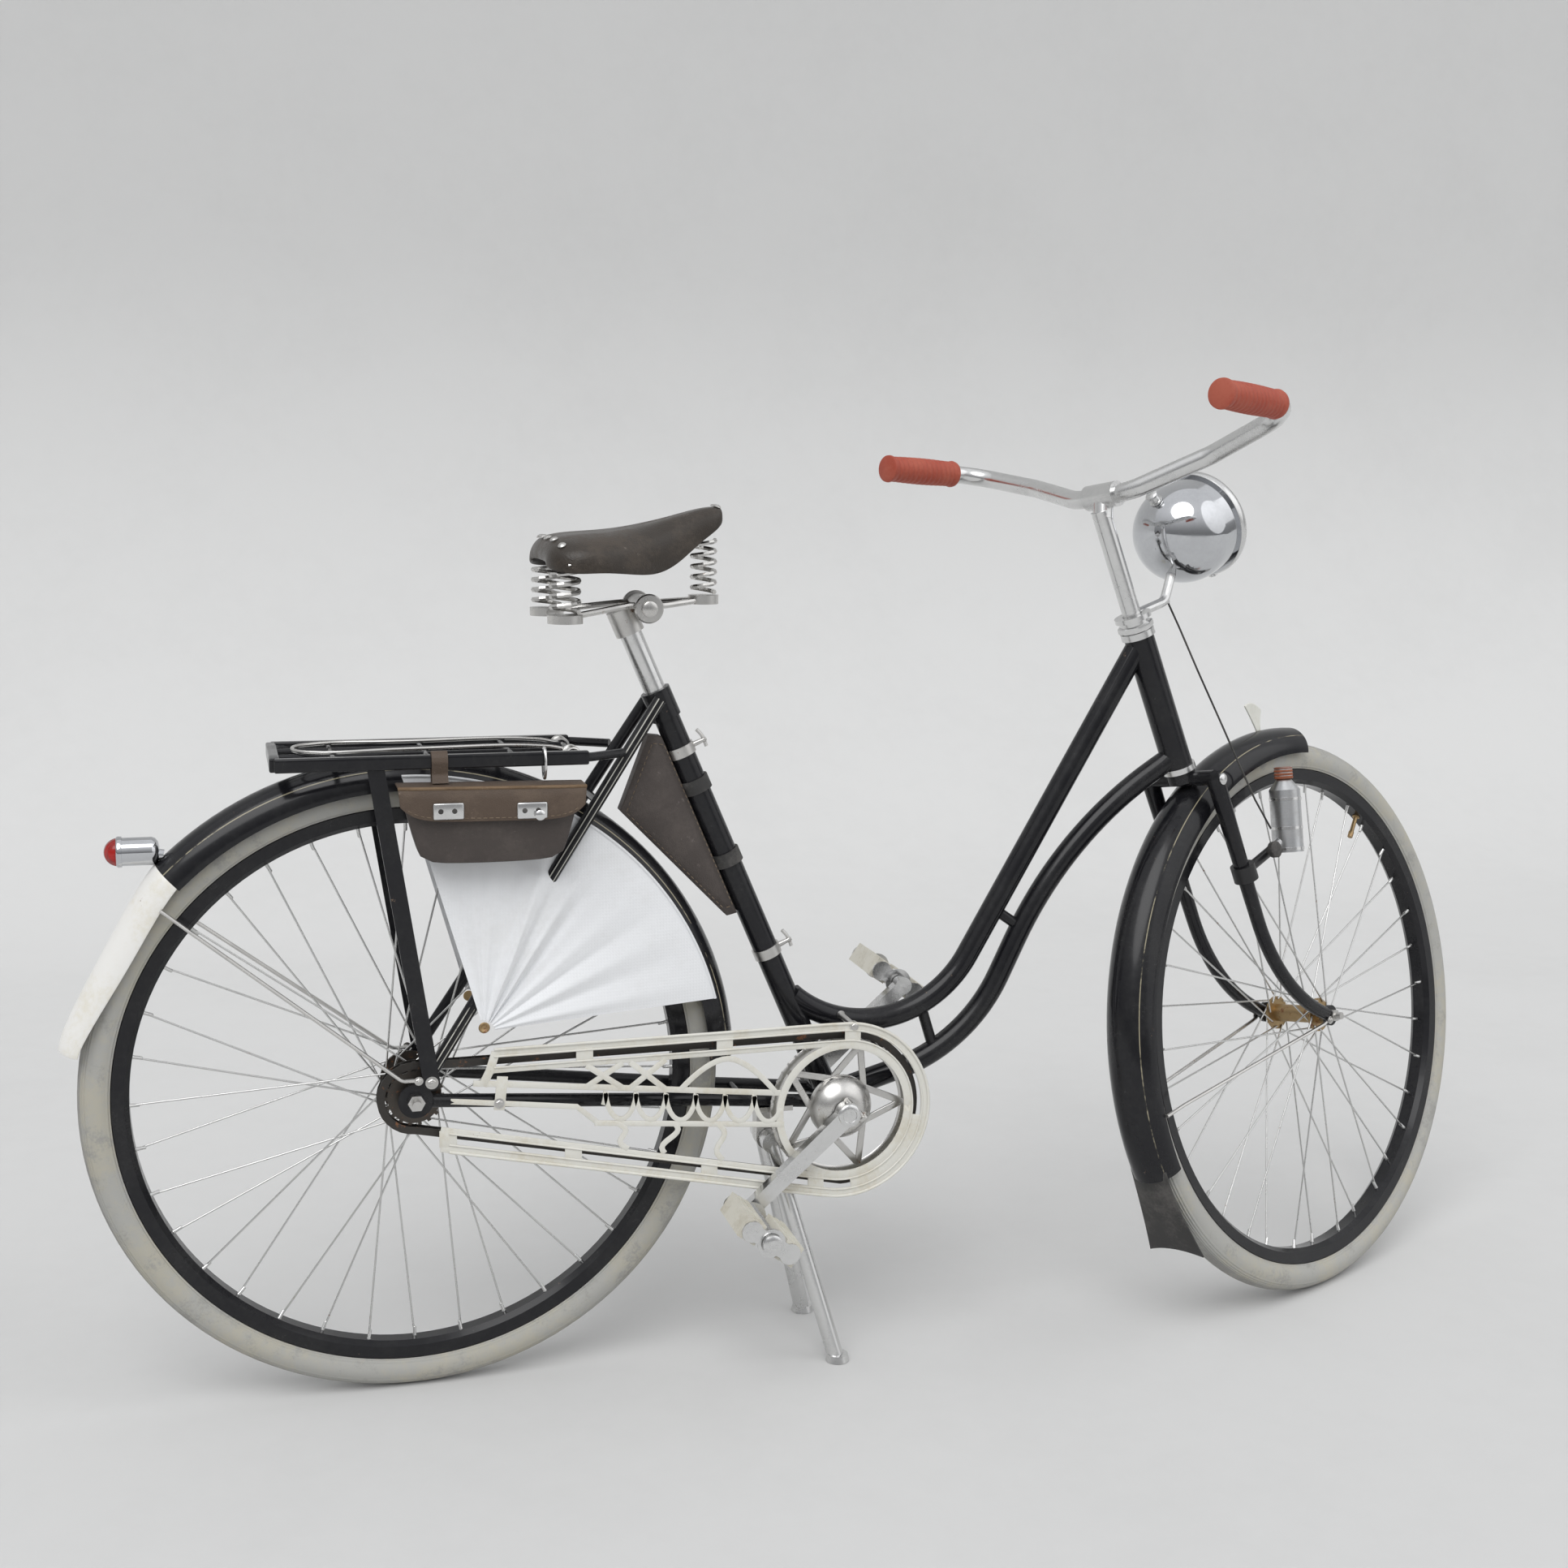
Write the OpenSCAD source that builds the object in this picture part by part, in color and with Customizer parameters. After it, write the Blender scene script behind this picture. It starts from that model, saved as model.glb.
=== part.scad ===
// Step-through roadster bicycle on its two-legged centre stand.
// Millimetres. +X points forward, +Y to the rider's left, +Z up. The origin is on the floor, on the
// mid-plane, straight under the rear axle.

/* [Wheels] */
// Outer radius of both tyres
tyre_r = 350; // [330:1:360]
// Width of the tyre's section
tyre_w = 40; // [34:1:44]
// Outer radius of the rims
rim_r = 316; // [300:1:318]
// Depth of the rim from its edge to the spoke face
rim_depth = 19; // [14:1:24]
// Width across the rim's edges
rim_w = 30; // [26:1:34]
// Number of spokes in each wheel
spoke_count = 36; // [28:4:40]
// Diameter of a spoke
spoke_d = 2.2; // [1.8:0.1:2.6]
// Radius of the rear hub's flanges
rear_flange_r = 31; // [26:1:36]
// Radius of the front hub's flanges
front_flange_r = 21; // [18:1:28]

/* [Frame] */
// Distance between the wheel axles with the fork straight
wheelbase = 1144; // [1090:1:1180]
// Angle of the steering axis above the floor
head_angle = 69.3; // [66:0.1:72]
// Distance from the steering axis to the front axle
fork_offset = 85; // [70:1:92]
// Distance from the rear axle forward to the crank axle
bb_x = 488; // [470:1:500]
// Height of the crank axle
bb_z = 301; // [290:1:312]
// Angle of the seat tube above the floor
seat_angle = 66.5; // [65:0.1:69]
// Length of the seat tube from the crank axle
seat_tube_l = 529; // [500:1:560]
// Radius of the seat tube
seat_tube_r = 14.5; // [13:0.1:16]
// Radius of the upper and lower tubes
main_tube_r = 13.5; // [12:0.1:15]
// Radius of the head tube
head_tube_r = 18; // [17:0.1:20]
// Steering axis length from the front axle's level to the head tube's lower end
head_low = 388; // [384:1:396]
// Length of the head tube
head_tube_l = 168; // [150:1:190]
// Slope of the upper tube's straight run
upper_slope = 60.5; // [59:0.5:62]
// Height of the lowest point of the upper tube
upper_low_z = 389; // [384:1:400]
// Bend radius of the upper tube
upper_bend = 142; // [136:1:150]
// Slope of the lower tube at the crank axle
lower_slope_bb = 16; // [12:0.5:20]
// Slope of the lower tube's middle run
lower_slope_mid = 65; // [62:0.5:68]
// Slope of the lower tube at the head
lower_slope_head = 33; // [30:0.5:38]
// Distance from the crank axle to the lower tube's first corner
lower_reach = 181; // [174:1:188]

/* [Steering] */
// How far the handlebar is turned to the left as the bicycle stands
steer_rest = 28; // [0:1:40]
// Height of the handlebar clamp along the steering axis
stem_top = 729; // [680:1:760]
// Distance of the handlebar clamp in front of the steering axis
stem_reach = 13; // [8:1:30]
// Radius of the handlebar tube
bar_r = 11; // [10:0.1:12]
// Half the distance between the grips
grip_half = 247; // [220:1:280]
// Length of a grip
grip_l = 112; // [90:1:130]
// Radius of the headlamp
lamp_r = 62; // [50:1:70]

/* [Mudguards] */
// Radius of the mudguards over the crown
guard_crown_r = 370; // [366:1:380]
// Radius of the mudguard's rounded section
guard_section_r = 31; // [28:1:34]
// Thickness of the mudguard sheet
guard_t = 1.6; // [1.2:0.1:2.5]

/* [Drive] */
// Number of chainring teeth
ring_teeth = 44; // [40:1:48]
// Number of sprocket teeth
sprocket_teeth = 18; // [16:1:20]
// Distance of the chain from the mid-plane
chain_line = 46; // [45:0.5:48]
// Length of a crank from axle to pedal
crank_l = 158; // [150:1:170]
// Direction of the right crank, from straight ahead, upwards positive
crank_angle = -138; // [-180:1:180]
// Tilt of the pedals
pedal_tilt = -35; // [-90:1:90]
// Length of a pedal along its spindle
pedal_l = 88; // [80:1:100]

/* [Stand] */
// Distance from the rear axle forward to the stand's pivot
stand_x = 412; // [405:1:416]
// Height of the stand's pivot
stand_z = 256; // [250:1:262]
// Distance of the feet in front of the pivot
foot_lead = 70; // [50:1:85]
// Half the distance between the feet
foot_half = 72; // [60:1:74]

/* [Rack and saddle] */
// Height of the rack's rails
rack_z = 722; // [718:1:740]
// Half the distance between the rack's rails
rack_half = 65; // [60:1:75]
// Distance of the rack's rear end behind the rear axle
rack_back = 138; // [100:1:180]
// Half the width of the saddle at the rear
saddle_half = 98; // [80:1:110]

/* [Hidden] */
$fn = 48;
wire_sides = 8;
bend_step = 9;
pitch = 12.7;
fit_gap = 0.3;

// Wheel sections
tyre_section_r = tyre_w / 2;
tyre_ring_r = tyre_r - tyre_section_r;
rim_bed_r = rim_r - 4;
rim_wall = 2.4;

// Steering frame: its origin lies on the steering axis, level with the front axle along that axis
head_lean = 90 - head_angle;
wheel_tip = sin(steer_rest) * sin(head_lean);
axle_rise = fork_offset * cos(steer_rest) * sin(head_lean);
axis_z = tyre_ring_r * sqrt(1 - wheel_tip * wheel_tip) + tyre_section_r - axle_rise;
axis_x = wheelbase - fork_offset * cos(head_lean);
head_high = head_low + head_tube_l;
function on_axis(along) = [axis_x - sin(head_lean) * along, 0, axis_z + cos(head_lean) * along];

// Rear triangle
bb = [bb_x, 0, bb_z];
axle = [0, 0, tyre_r];
seat_dir = [-cos(seat_angle), 0, sin(seat_angle)];
seat_top = bb + seat_dir * seat_tube_l;
post_r = 12.5;
bb_shell_r = 21;
bb_shell_half = 36;
drop_in = 57;
drop_t = 5;
drop_r = 19;
rack_eye = [17, 0, tyre_r + 21];
stay_r = 7;
chain_stay_r = 7.5;
stay_top_y = 27;
stay_low_y = drop_in + 2;
stay_top = seat_top + [0, 0, -8];
bridge_r = 4.5;
stay_end = 0.965;

// Upper tube
upper_top = on_axis(head_high - 6);
upper_run = [-cos(upper_slope), 0, -sin(upper_slope)];
upper_turn = upper_top + upper_run * (upper_top.z - upper_low_z - upper_bend * (1 - cos(upper_slope)))
    / sin(upper_slope);
upper_centre = upper_turn + upper_bend * [-sin(upper_slope), 0, cos(upper_slope)];
to_centre = upper_centre - bb;
centre_along = to_centre * seat_dir;
centre_off = norm(to_centre - seat_dir * centre_along);
upper_end = bb + seat_dir * (centre_along - sqrt(upper_bend * upper_bend - centre_off * centre_off));
upper_end_angle = atan2(upper_end.z - upper_centre.z, upper_end.x - upper_centre.x);
upper_sweep = upper_slope - 90 - upper_end_angle;
upper_steps = 14;
tube_sides = 20;

// Lower tube
lower_top = on_axis(head_low + 14);
function slope_dir(a) = [cos(a), 0, sin(a)];
function cross_xz(a, b) = a.x * b.z - a.z * b.x;
lower_first = bb + slope_dir(lower_slope_bb) * lower_reach;
lower_back = cross_xz(lower_top - lower_first, slope_dir(lower_slope_mid))
    / cross_xz(slope_dir(lower_slope_head), slope_dir(lower_slope_mid));
lower_second = lower_top - slope_dir(lower_slope_head) * lower_back;
lower_bends = [200, 480];
strut_r = 6.5;

// Fork
steerer_r = 12.7;
head_bore_r = 16;
crown_z = guard_crown_r - 0.5;
crown_r = 9;
blade_half = 48;
blade_r = 11;
blade_tip_r = 8.5;
rake_bend = 233;
rake_angle = acos(1 - fork_offset / rake_bend);
rake_drop = rake_bend * sin(rake_angle);
front_axle_r = 4.5;
front_hub_half = 43;

// Rear hub and axle
rear_axle_r = 5;
rear_hub_half = 50;

// Mudguards
guard_ring_r = guard_crown_r - guard_section_r;
guard_front_angle = 2;
tail_start = 135;
tail_end = 165;
tail_shift = 60;
front_guard_tip = 66;
front_guard_end = 184;

// Drive
ring_r = pitch / 2 / sin(180 / ring_teeth);
sprocket_r = pitch / 2 / sin(180 / sprocket_teeth);
roller_r = 3.9;
plate_half = 4.3;
tooth_gap = 0.6;
ring_t = 3;
crank_in = 70;
crank_t = 13;
spindle_r = 6;
crank_axle_r = 8;
pedal_in = crank_in + crank_t + 7;
guard_plate_y = 63;
guard_plate_t = 2;
guard_front_r = ring_r + 15;
guard_rear_r = sprocket_r + 20;

// Chain line geometry: centres and tangent angles of the loop
loop_vec = [bb_x, bb_z - tyre_r];
loop_len = norm(loop_vec);
loop_angle = atan2(loop_vec.y, loop_vec.x);
function tangent_angle(r1, r2) = acos((r1 - r2) / loop_len);

// Stand
leg_r = 9.5;
leg_top_y = 19.5;
pin_r = 6;
lug_half = 9.5;
foot_h = 8;
pivot = [stand_x, 0, stand_z];

// Skirt guards
skirt_apex = [74, 66, 425];
skirt_arc_r = guard_crown_r - 18;
skirt_arc_y = guard_section_r - 1.5;
skirt_from = 14;
skirt_to = 91;
skirt_t = 1.6;
skirt_steps = 24;

// Saddle stations: distance forward, half width, top height, lower edge height
saddle_bed = [
    [0, 0.62, 948, 934],
    [14, 0.9, 957, 928],
    [45, 1, 961, 926],
    [80, 0.93, 963, 927],
    [115, 0.68, 968, 926],
    [150, 0.42, 976, 928],
    [180, 0.3, 985, 944],
    [205, 0.26, 992, 958],
    [220, 0.2, 990, 966],
];
saddle_x = 132;

// Route of the lamp wire in the steering frame, from the lamp's gland to the dynamo
wire_route = [
    [72, 0, 576],
    [72, -6, 540],
    [70, -16, 480],
    [68, -28, 415],
    [66, -38, 360],
    [66, -46, 310],
    [72, -52, 268],
];
wire_r = 1.2;

paint_black = [0.06, 0.06, 0.07];
chrome = [0.78, 0.79, 0.8];
cream = [0.86, 0.84, 0.77];
white = [0.93, 0.93, 0.93];
leather = [0.25, 0.2, 0.17];
tyre_grey = [0.72, 0.71, 0.66];

// Straight and bent bars

function unit(v) = v / norm(v);

// Straight round bar between two points, tapered if two radii are given
module rod(a, b, r, r_end = 0) {
    d = b - a;
    translate(a)
        rotate([0, atan2(norm([d.x, d.y]), d.z), atan2(d.y, d.x)])
            cylinder(h = norm(d), r1 = r, r2 = r_end > 0 ? r_end : r);
}

// Route with round bends, from its corner points and one bend radius or a list of them
function turn(pts, i) = acos(min(1, unit(pts[i] - pts[i - 1]) * unit(pts[i + 1] - pts[i])));
function bend_at(bend, i) = is_list(bend) ? bend[i - 1] : bend;
function bend_points(pts, bend, i) =
    let (
        along = unit(pts[i] - pts[i - 1]),
        out = unit(pts[i + 1] - pts[i]),
        inward = unit(out - along * (along * out)),
        r = bend_at(bend, i),
        centre = pts[i] - along * r * tan(turn(pts, i) / 2) + inward * r,
        steps = max(2, ceil(turn(pts, i) / bend_step))
    )
    [
        for (k = [0 : steps])
            let (a = turn(pts, i) * k / steps)
                centre - inward * r * cos(a) + along * r * sin(a)
    ];
function rounded(pts, bend) = concat(
    [pts[0]],
    [for (i = [1 : len(pts) - 2]) each bend_points(pts, bend, i)],
    [pts[len(pts) - 1]]
);

// Round bar swept along a route, with its rings square to the route
module swept_bar(route, r, sides, ref = [0, 1, 0]) {
    n = len(route);
    function ahead(i) = unit(
        i == 0 ? route[1] - route[0]
        : i == n - 1 ? route[i] - route[i - 1]
        : unit(route[i + 1] - route[i]) + unit(route[i] - route[i - 1])
    );
    function across(i) = unit(cross(ahead(i), ref));
    function ring(i) = [
        for (k = [0 : sides - 1])
            let (a = 360 * k / sides)
                route[i] + r * (cos(a) * across(i) + sin(a) * cross(ahead(i), across(i)))
    ];
    walls = [
        for (i = [0 : n - 2], k = [0 : sides - 1])
            let (j = (k + 1) % sides)
                [i * sides + k, (i + 1) * sides + k, (i + 1) * sides + j, i * sides + j]
    ];
    ends = [
        [for (k = [0 : sides - 1]) k],
        [for (k = [sides - 1 : -1 : 0]) (n - 1) * sides + k],
    ];
    polyhedron([for (i = [0 : n - 1]) each ring(i)], concat(walls, ends));
}

// Round bar along corner points with bends
module bent_rod(pts, bend, r, sides = 16, ref = [0, 1, 0]) {
    swept_bar(rounded(pts, bend), r, sides, ref);
}

// Plate drawn in the X-Z plane and reaching from one Y to another
module side_plate(y_low, y_high) {
    translate([0, y_high, 0])
        rotate([90, 0, 0])
            linear_extrude(y_high - y_low)
                children();
}

// Both sides of the mid-plane
module both_sides() {
    children();
    mirror([0, 1, 0])
        children();
}

// Places what is drawn in the steering frame, turned as the bicycle stands
module steered() {
    translate(on_axis(0))
        rotate([0, -head_lean, 0])
            rotate([0, 0, steer_rest])
                children();
}

// Frame

module head_axis_bar(low, high, r) {
    rod(on_axis(low), on_axis(high), r);
}

module head_tube() {
    color(paint_black)
        difference() {
            head_axis_bar(head_low, head_high, head_tube_r);
            head_axis_bar(head_low - 1, head_high + 1, head_bore_r);
        }
}

module headset_cup(from, to, r) {
    difference() {
        head_axis_bar(from, to, r);
        head_axis_bar(from - 1, to + 1, steerer_r + 0.4);
    }
}

module headset_cups() {
    color(chrome) {
        headset_cup(head_low - 7, head_low, head_tube_r + 2.5);
        headset_cup(head_high, head_high + 8, head_tube_r + 2.5);
    }
}

// Route of the upper tube: straight from the head, then round its bend to the seat tube
function upper_route() = concat(
    [upper_top],
    [
        for (k = [0 : upper_steps])
            let (a = upper_slope - 90 - upper_sweep * k / upper_steps)
                upper_centre + upper_bend * [cos(a), 0, sin(a)]
    ]
);

module upper_tube() {
    color(paint_black)
        difference() {
            swept_bar(upper_route(), main_tube_r, tube_sides);
            head_axis_bar(head_low, head_high + 30, head_tube_r);
            rod(bb, seat_top, seat_tube_r);
        }
}

module lower_tube() {
    color(paint_black)
        difference() {
            bent_rod([bb, lower_first, lower_second, lower_top], lower_bends, main_tube_r, tube_sides);
            head_axis_bar(head_low, head_high, head_tube_r);
            head_axis_bar(head_low - 30, head_low + 0.3, head_tube_r + 3);
            rod([bb_x, -bb_shell_half, bb_z], [bb_x, bb_shell_half, bb_z], bb_shell_r);
            rod(bb, seat_top, seat_tube_r);
        }
}

module frame_struts() {
    middle = (lower_first + lower_second) / 2;
    color(paint_black) {
        rod(upper_turn + [30, 0, 56], middle + [7, 0, 14], strut_r);
        rod(upper_centre + upper_bend * [0.46, 0, -0.888], lower_first + [-44, 0, 1], strut_r);
    }
}

module seat_tube() {
    lug_r = seat_tube_r + 2.5;
    lug_low = seat_top - seat_dir * 34;
    color(paint_black)
        difference() {
            union() {
                rod(bb, seat_top, seat_tube_r);
                rod(lug_low, seat_top, lug_r);
                rod(stay_top + [0, -stay_top_y + stay_r, 0], stay_top + [0, stay_top_y - stay_r, 0], 7);
            }
            rod(seat_top - seat_dir * 110, seat_top + seat_dir, post_r + 0.1);
            rod([bb_x, -bb_shell_half, bb_z], [bb_x, bb_shell_half, bb_z], bb_shell_r);
        }
}

module bottom_bracket_shell() {
    color(paint_black)
        difference() {
            rod([bb_x, -bb_shell_half, bb_z], [bb_x, bb_shell_half, bb_z], bb_shell_r);
            rod([bb_x, -bb_shell_half - 1, bb_z], [bb_x, bb_shell_half + 1, bb_z], crank_axle_r + 0.4);
        }
}

function chain_stay_route(side) = [
    [bb_x - 10, side * 28, bb_z + 1],
    [320, side * 32.5, bb_z + (tyre_r - bb_z) * (bb_x - 320) / bb_x],
    [10, side * (drop_in + 1), tyre_r - 1],
];

module chain_stays() {
    color(paint_black) {
        for (side = [-1, 1])
            difference() {
                union() {
                    bent_rod(chain_stay_route(side), 300, chain_stay_r);
                    dropout(side);
                }
                rod([bb_x, -bb_shell_half, bb_z], [bb_x, bb_shell_half, bb_z], bb_shell_r);
                rod([0, side * (drop_in - 20), tyre_r], [0, side * (drop_in + 20), tyre_r], rear_axle_r + 0.2);
                side_slot(side);
            }
        chain_stay_bridge();
    }
}

// Room beside the dropout for the hub's lock nut
module side_slot(side) {
    rod([0, side * (drop_in - 20), tyre_r], [0, side * drop_in, tyre_r], drop_r);
    rod([0, side * (drop_in + drop_t), tyre_r], [0, side * (drop_in + 20), tyre_r], drop_r);
}

module dropout(side) {
    low = side > 0 ? drop_in : -drop_in - drop_t;
    side_plate(low, low + drop_t) {
        translate([0, tyre_r])
            circle(drop_r);
        translate([rack_eye.x, rack_eye.z])
            circle(9);
        translate([0, tyre_r])
            rotate(50)
                square([26, 9]);
    }
}

module chain_stay_bridge() {
    x = guard_crown_r + bridge_r + 0.5;
    z = bb_z + 12;
    y = 31 - chain_stay_r;
    rod([x, -y, z], [x, y, z], bridge_r);
}

function seat_stay_point(t, side) = [
    stay_top.x * (1 - t) + 6 * t,
    side * (stay_top_y * (1 - t) + stay_low_y * t),
    stay_top.z * (1 - t) + (tyre_r + 12) * t,
];

module seat_stay(side, r) {
    rod(seat_stay_point(0, side), seat_stay_point(stay_end, side), r);
}

module seat_stays() {
    bridge_t = 1 - (guard_crown_r + bridge_r + 0.5) / norm([stay_top.x, stay_top.z - tyre_r]);
    color(paint_black)
        difference() {
            union() {
                seat_stay(-1, stay_r);
                seat_stay(1, stay_r);
                rod(seat_stay_point(bridge_t, -1), seat_stay_point(bridge_t, 1), bridge_r);
            }
            rod([0, -chain_line - 6, tyre_r], [0, chain_line + 6, tyre_r], sprocket_r + 9);
            rod([rack_eye.x, -90, rack_eye.z], [rack_eye.x, 90, rack_eye.z], 9);
        }
}

module hex_nut(y_from, y_to, r) {
    translate([0, y_from, tyre_r])
        rotate([-90, 0, 0])
            cylinder(h = y_to - y_from, r = r, $fn = 6);
}

module rear_axle() {
    nut_from = drop_in + drop_t;
    color(chrome) {
        rod([0, -nut_from - 17, tyre_r], [0, nut_from + 17, tyre_r], rear_axle_r);
        both_sides() {
            hex_nut(nut_from, nut_from + 9, 9.5);
            rod([0, rear_hub_half + 0.5, tyre_r], [0, drop_in, tyre_r], 8);
        }
    }
}

// Mudguards

// Rounded sheet section, open towards the wheel
module guard_section(ring_r) {
    intersection() {
        translate([ring_r, 0])
            difference() {
                circle(guard_section_r);
                circle(guard_section_r - guard_t);
            }
        translate([ring_r - 3, -guard_section_r])
            square([guard_section_r + 3, 2 * guard_section_r]);
    }
}

module guard_arc(centre, ring_r, from, to) {
    translate(centre)
        rotate([90, 0, 0])
            rotate([0, 0, from])
                rotate_extrude(angle = to - from)
                    guard_section(ring_r);
}

tail_centre = axle - tail_shift * [cos(tail_start), 0, sin(tail_start)];

module rear_mudguard() {
    color(paint_black)
        guard_arc(axle, guard_ring_r, guard_front_angle, tail_start);
}

module mudguard_tail() {
    color(white)
        guard_arc(tail_centre, guard_ring_r + tail_shift, tail_start, tail_end);
}

stay_angle = 139;
stay_wire_r = 2.2;

module rear_mudguard_stays() {
    edge = tail_centre + (guard_ring_r + tail_shift - 2) * [cos(stay_angle), 0, sin(stay_angle)];
    y = guard_section_r + stay_wire_r + 0.3;
    color(chrome)
        both_sides()
            bent_rod([
                edge + [0, y, 0],
                edge * 0.9 + axle * 0.1 + [0, y, 0],
                [-14, drop_in + drop_t + stay_wire_r, tyre_r + 24],
                [4, drop_in + drop_t + stay_wire_r, tyre_r + 24],
            ], 12, stay_wire_r, wire_sides);
}

// Tail lamp: a short round body lying on the mudguard, its lens to the rear
tail_lamp_r = 15;
tail_lamp_l = 34;
lamp_seat = axle + (guard_crown_r + 0.3) * [cos(tail_start - 2), 0, sin(tail_start - 2)];
lamp_mid = lamp_seat + [-28, 0, 5];

module tail_lamp() {
    color(chrome)
        difference() {
            union() {
                rod(lamp_mid + [tail_lamp_l / 2, 0, 0], lamp_mid - [tail_lamp_l / 2, 0, 0], tail_lamp_r);
                rod(lamp_mid, lamp_seat, 6);
            }
            translate(axle)
                about_y()
                    cylinder(h = 90, r = guard_crown_r + 0.2, center = true, $fn = 96);
        }
}

module tail_lamp_lens() {
    face = lamp_mid - [tail_lamp_l / 2, 0, 0];
    color([0.65, 0.05, 0.04])
        intersection() {
            translate(face)
                sphere(tail_lamp_r);
            rod(face, face - [30, 0, 0], tail_lamp_r + 1);
        }
}

// Rack

module rear_rack() {
    front = 190;
    end = 233;
    tip_y = 38.5;
    rail_r = 5;
    clip_half = 22;
    deck_z = rack_z + 2;
    color(paint_black)
        difference() {
            union() {
                bent_rod([
                    [end, -tip_y, rack_z],
                    [front, -rack_half, rack_z],
                    [-rack_back, -rack_half, rack_z],
                    [-rack_back, rack_half, rack_z],
                    [front, rack_half, rack_z],
                    [end, tip_y, rack_z],
                ], 24, rail_r, 12, [0, 0, 1]);
                for (x = [-rack_back + 60, 20, 110, front - 14])
                    rod([x, -rack_half, deck_z], [x, rack_half, deck_z], 3.5);
                for (y = [-clip_half, clip_half])
                    rod([-rack_back, y, deck_z], [front - 14, y, deck_z], 3.5);
            }
            seat_stay(-1, stay_r + 0.2);
            seat_stay(1, stay_r + 0.2);
        }
}

module rack_struts() {
    strut_top = [-36, 0, rack_z - 5.2];
    inner = drop_in + drop_t + 0.2;
    strut_t = 4;
    lean = atan2(strut_top.z - rack_eye.z, strut_top.x - rack_eye.x);
    long = norm(strut_top - rack_eye);
    color(paint_black)
        difference() {
            both_sides()
                side_plate(inner, inner + strut_t)
                    intersection() {
                        translate([rack_eye.x, rack_eye.z])
                            rotate(lean) {
                                circle(9);
                                translate([0, -9])
                                    square([long + 8, 18]);
                            }
                        translate([-200, 0])
                            square([400, strut_top.z]);
                    }
            seat_stay(-1, stay_r + 0.3);
            seat_stay(1, stay_r + 0.3);
        }
}

// Soft pieces

// Fan of cloth from the mudguard's edge to an eyelet above the hub
module skirt_fan(side) {
    arc = [
        for (i = [0 : skirt_steps])
            let (a = skirt_from + (skirt_to - skirt_from) * i / skirt_steps)
                [skirt_arc_r * cos(a), side * skirt_arc_y, tyre_r + skirt_arc_r * sin(a)]
    ];
    apex = [skirt_apex.x, side * skirt_apex.y, skirt_apex.z];
    thick = [0, side * skirt_t, 0];
    n = len(arc) + 1;
    inner = concat([apex], arc);
    outer = [for (p = inner) p + thick];
    sheet = [for (i = [1 : n - 2]) [0, i, i + 1]];
    back = [for (f = sheet) [n + f[2], n + f[1], n + f[0]]];
    rim = [for (i = [0 : n - 1]) let (j = (i + 1) % n) [j, i, n + i, n + j]];
    faces = concat(sheet, back, rim);
    polyhedron(
        concat(inner, outer),
        side > 0 ? faces : [for (f = faces) [for (k = [len(f) - 1 : -1 : 0]) f[k]]]
    );
}

module skirt_guard(side) {
    color(white)
        difference() {
            skirt_fan(side);
            seat_stay(side, stay_r + 1.2);
        }
}

module skirt_guard_right() {
    skirt_guard(-1);
}

module skirt_guard_left() {
    skirt_guard(1);
}

module tool_bag() {
    top = rack_z - 26;
    drop = 82;
    near = 88;
    far = 53;
    color(leather) {
        side_plate(-near, -far)
            polygon([[-15, top], [182, top - 3], [162, top - drop], [6, top - drop + 2]]);
        for (x = [38, 128])
            side_plate(-rack_half - 5, -rack_half + 5)
                translate([x, top - 6])
                    square([14, rack_z - 5.2 - top + 6]);
    }
}

module frame_bag() {
    function behind_seat(z) =
        bb_x - (z - bb_z) / tan(seat_angle) - (seat_tube_r + 0.4) / sin(seat_angle);
    color(leather)
        side_plate(-19, 19)
            polygon([
                [behind_seat(735), 735],
                [behind_seat(528), 528],
                [behind_seat(528) - 14, 524],
                [236, 652],
                [behind_seat(735) - 14, 738],
            ]);
}

// Saddle

post_end = seat_top + seat_dir * 96;
clamp_at = [post_end.x + 24, 0, post_end.z + 5];

module seat_post() {
    color(chrome)
        rod(seat_top - seat_dir * 100, post_end, post_r);
}

module saddle_frame() {
    front = [saddle_x + 200, 0, 889];
    rear = [saddle_x + 34, 60, 870];
    wire = 3.5;
    color(chrome)
        difference() {
            union() {
                rod(clamp_at + [0, -31, 0], clamp_at + [0, 31, 0], 13);
                rod(post_end - seat_dir * 26, post_end + seat_dir * 3, post_r + 4);
                rod(post_end - seat_dir * 10, clamp_at, 9);
                both_sides() {
                    bent_rod([
                        front + [0, 4, -2],
                        clamp_at + [20, 26, 3],
                        clamp_at + [-20, 26, 3],
                        rear + [-8, 2, 0.5],
                    ], 20, wire, wire_sides);
                    rod(rear + [0, 0, -4], rear + [0, 0, 5], 19);
                }
                rod(rear + [0, -120, 0.5], rear + [0, 0, 0.5], wire);
                rod(front + [0, 0, -7], front + [0, 0, 3], 17);
            }
            rod(post_end - seat_dir * 30, post_end, post_r);
        }
}

// Coil spring standing on its lower end
module coil(at, high, r, wire, turns) {
    steps = 14;
    swept_bar([
        for (i = [0 : turns * steps])
            at + [r * cos(360 * i / steps), r * sin(360 * i / steps), wire + (high - 2 * wire) * i / turns / steps]
    ], wire, 6, [0, 0, 1]);
}

module saddle_springs() {
    front = [saddle_x + 200, 0, 892.2];
    color(chrome) {
        for (side = [-1, 1])
            coil([saddle_x + 34, side * 60, 875.2], 50.5, 15, 2.8, 4);
        coil(front, 63, 13, 2.6, 5);
    }
}

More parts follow.
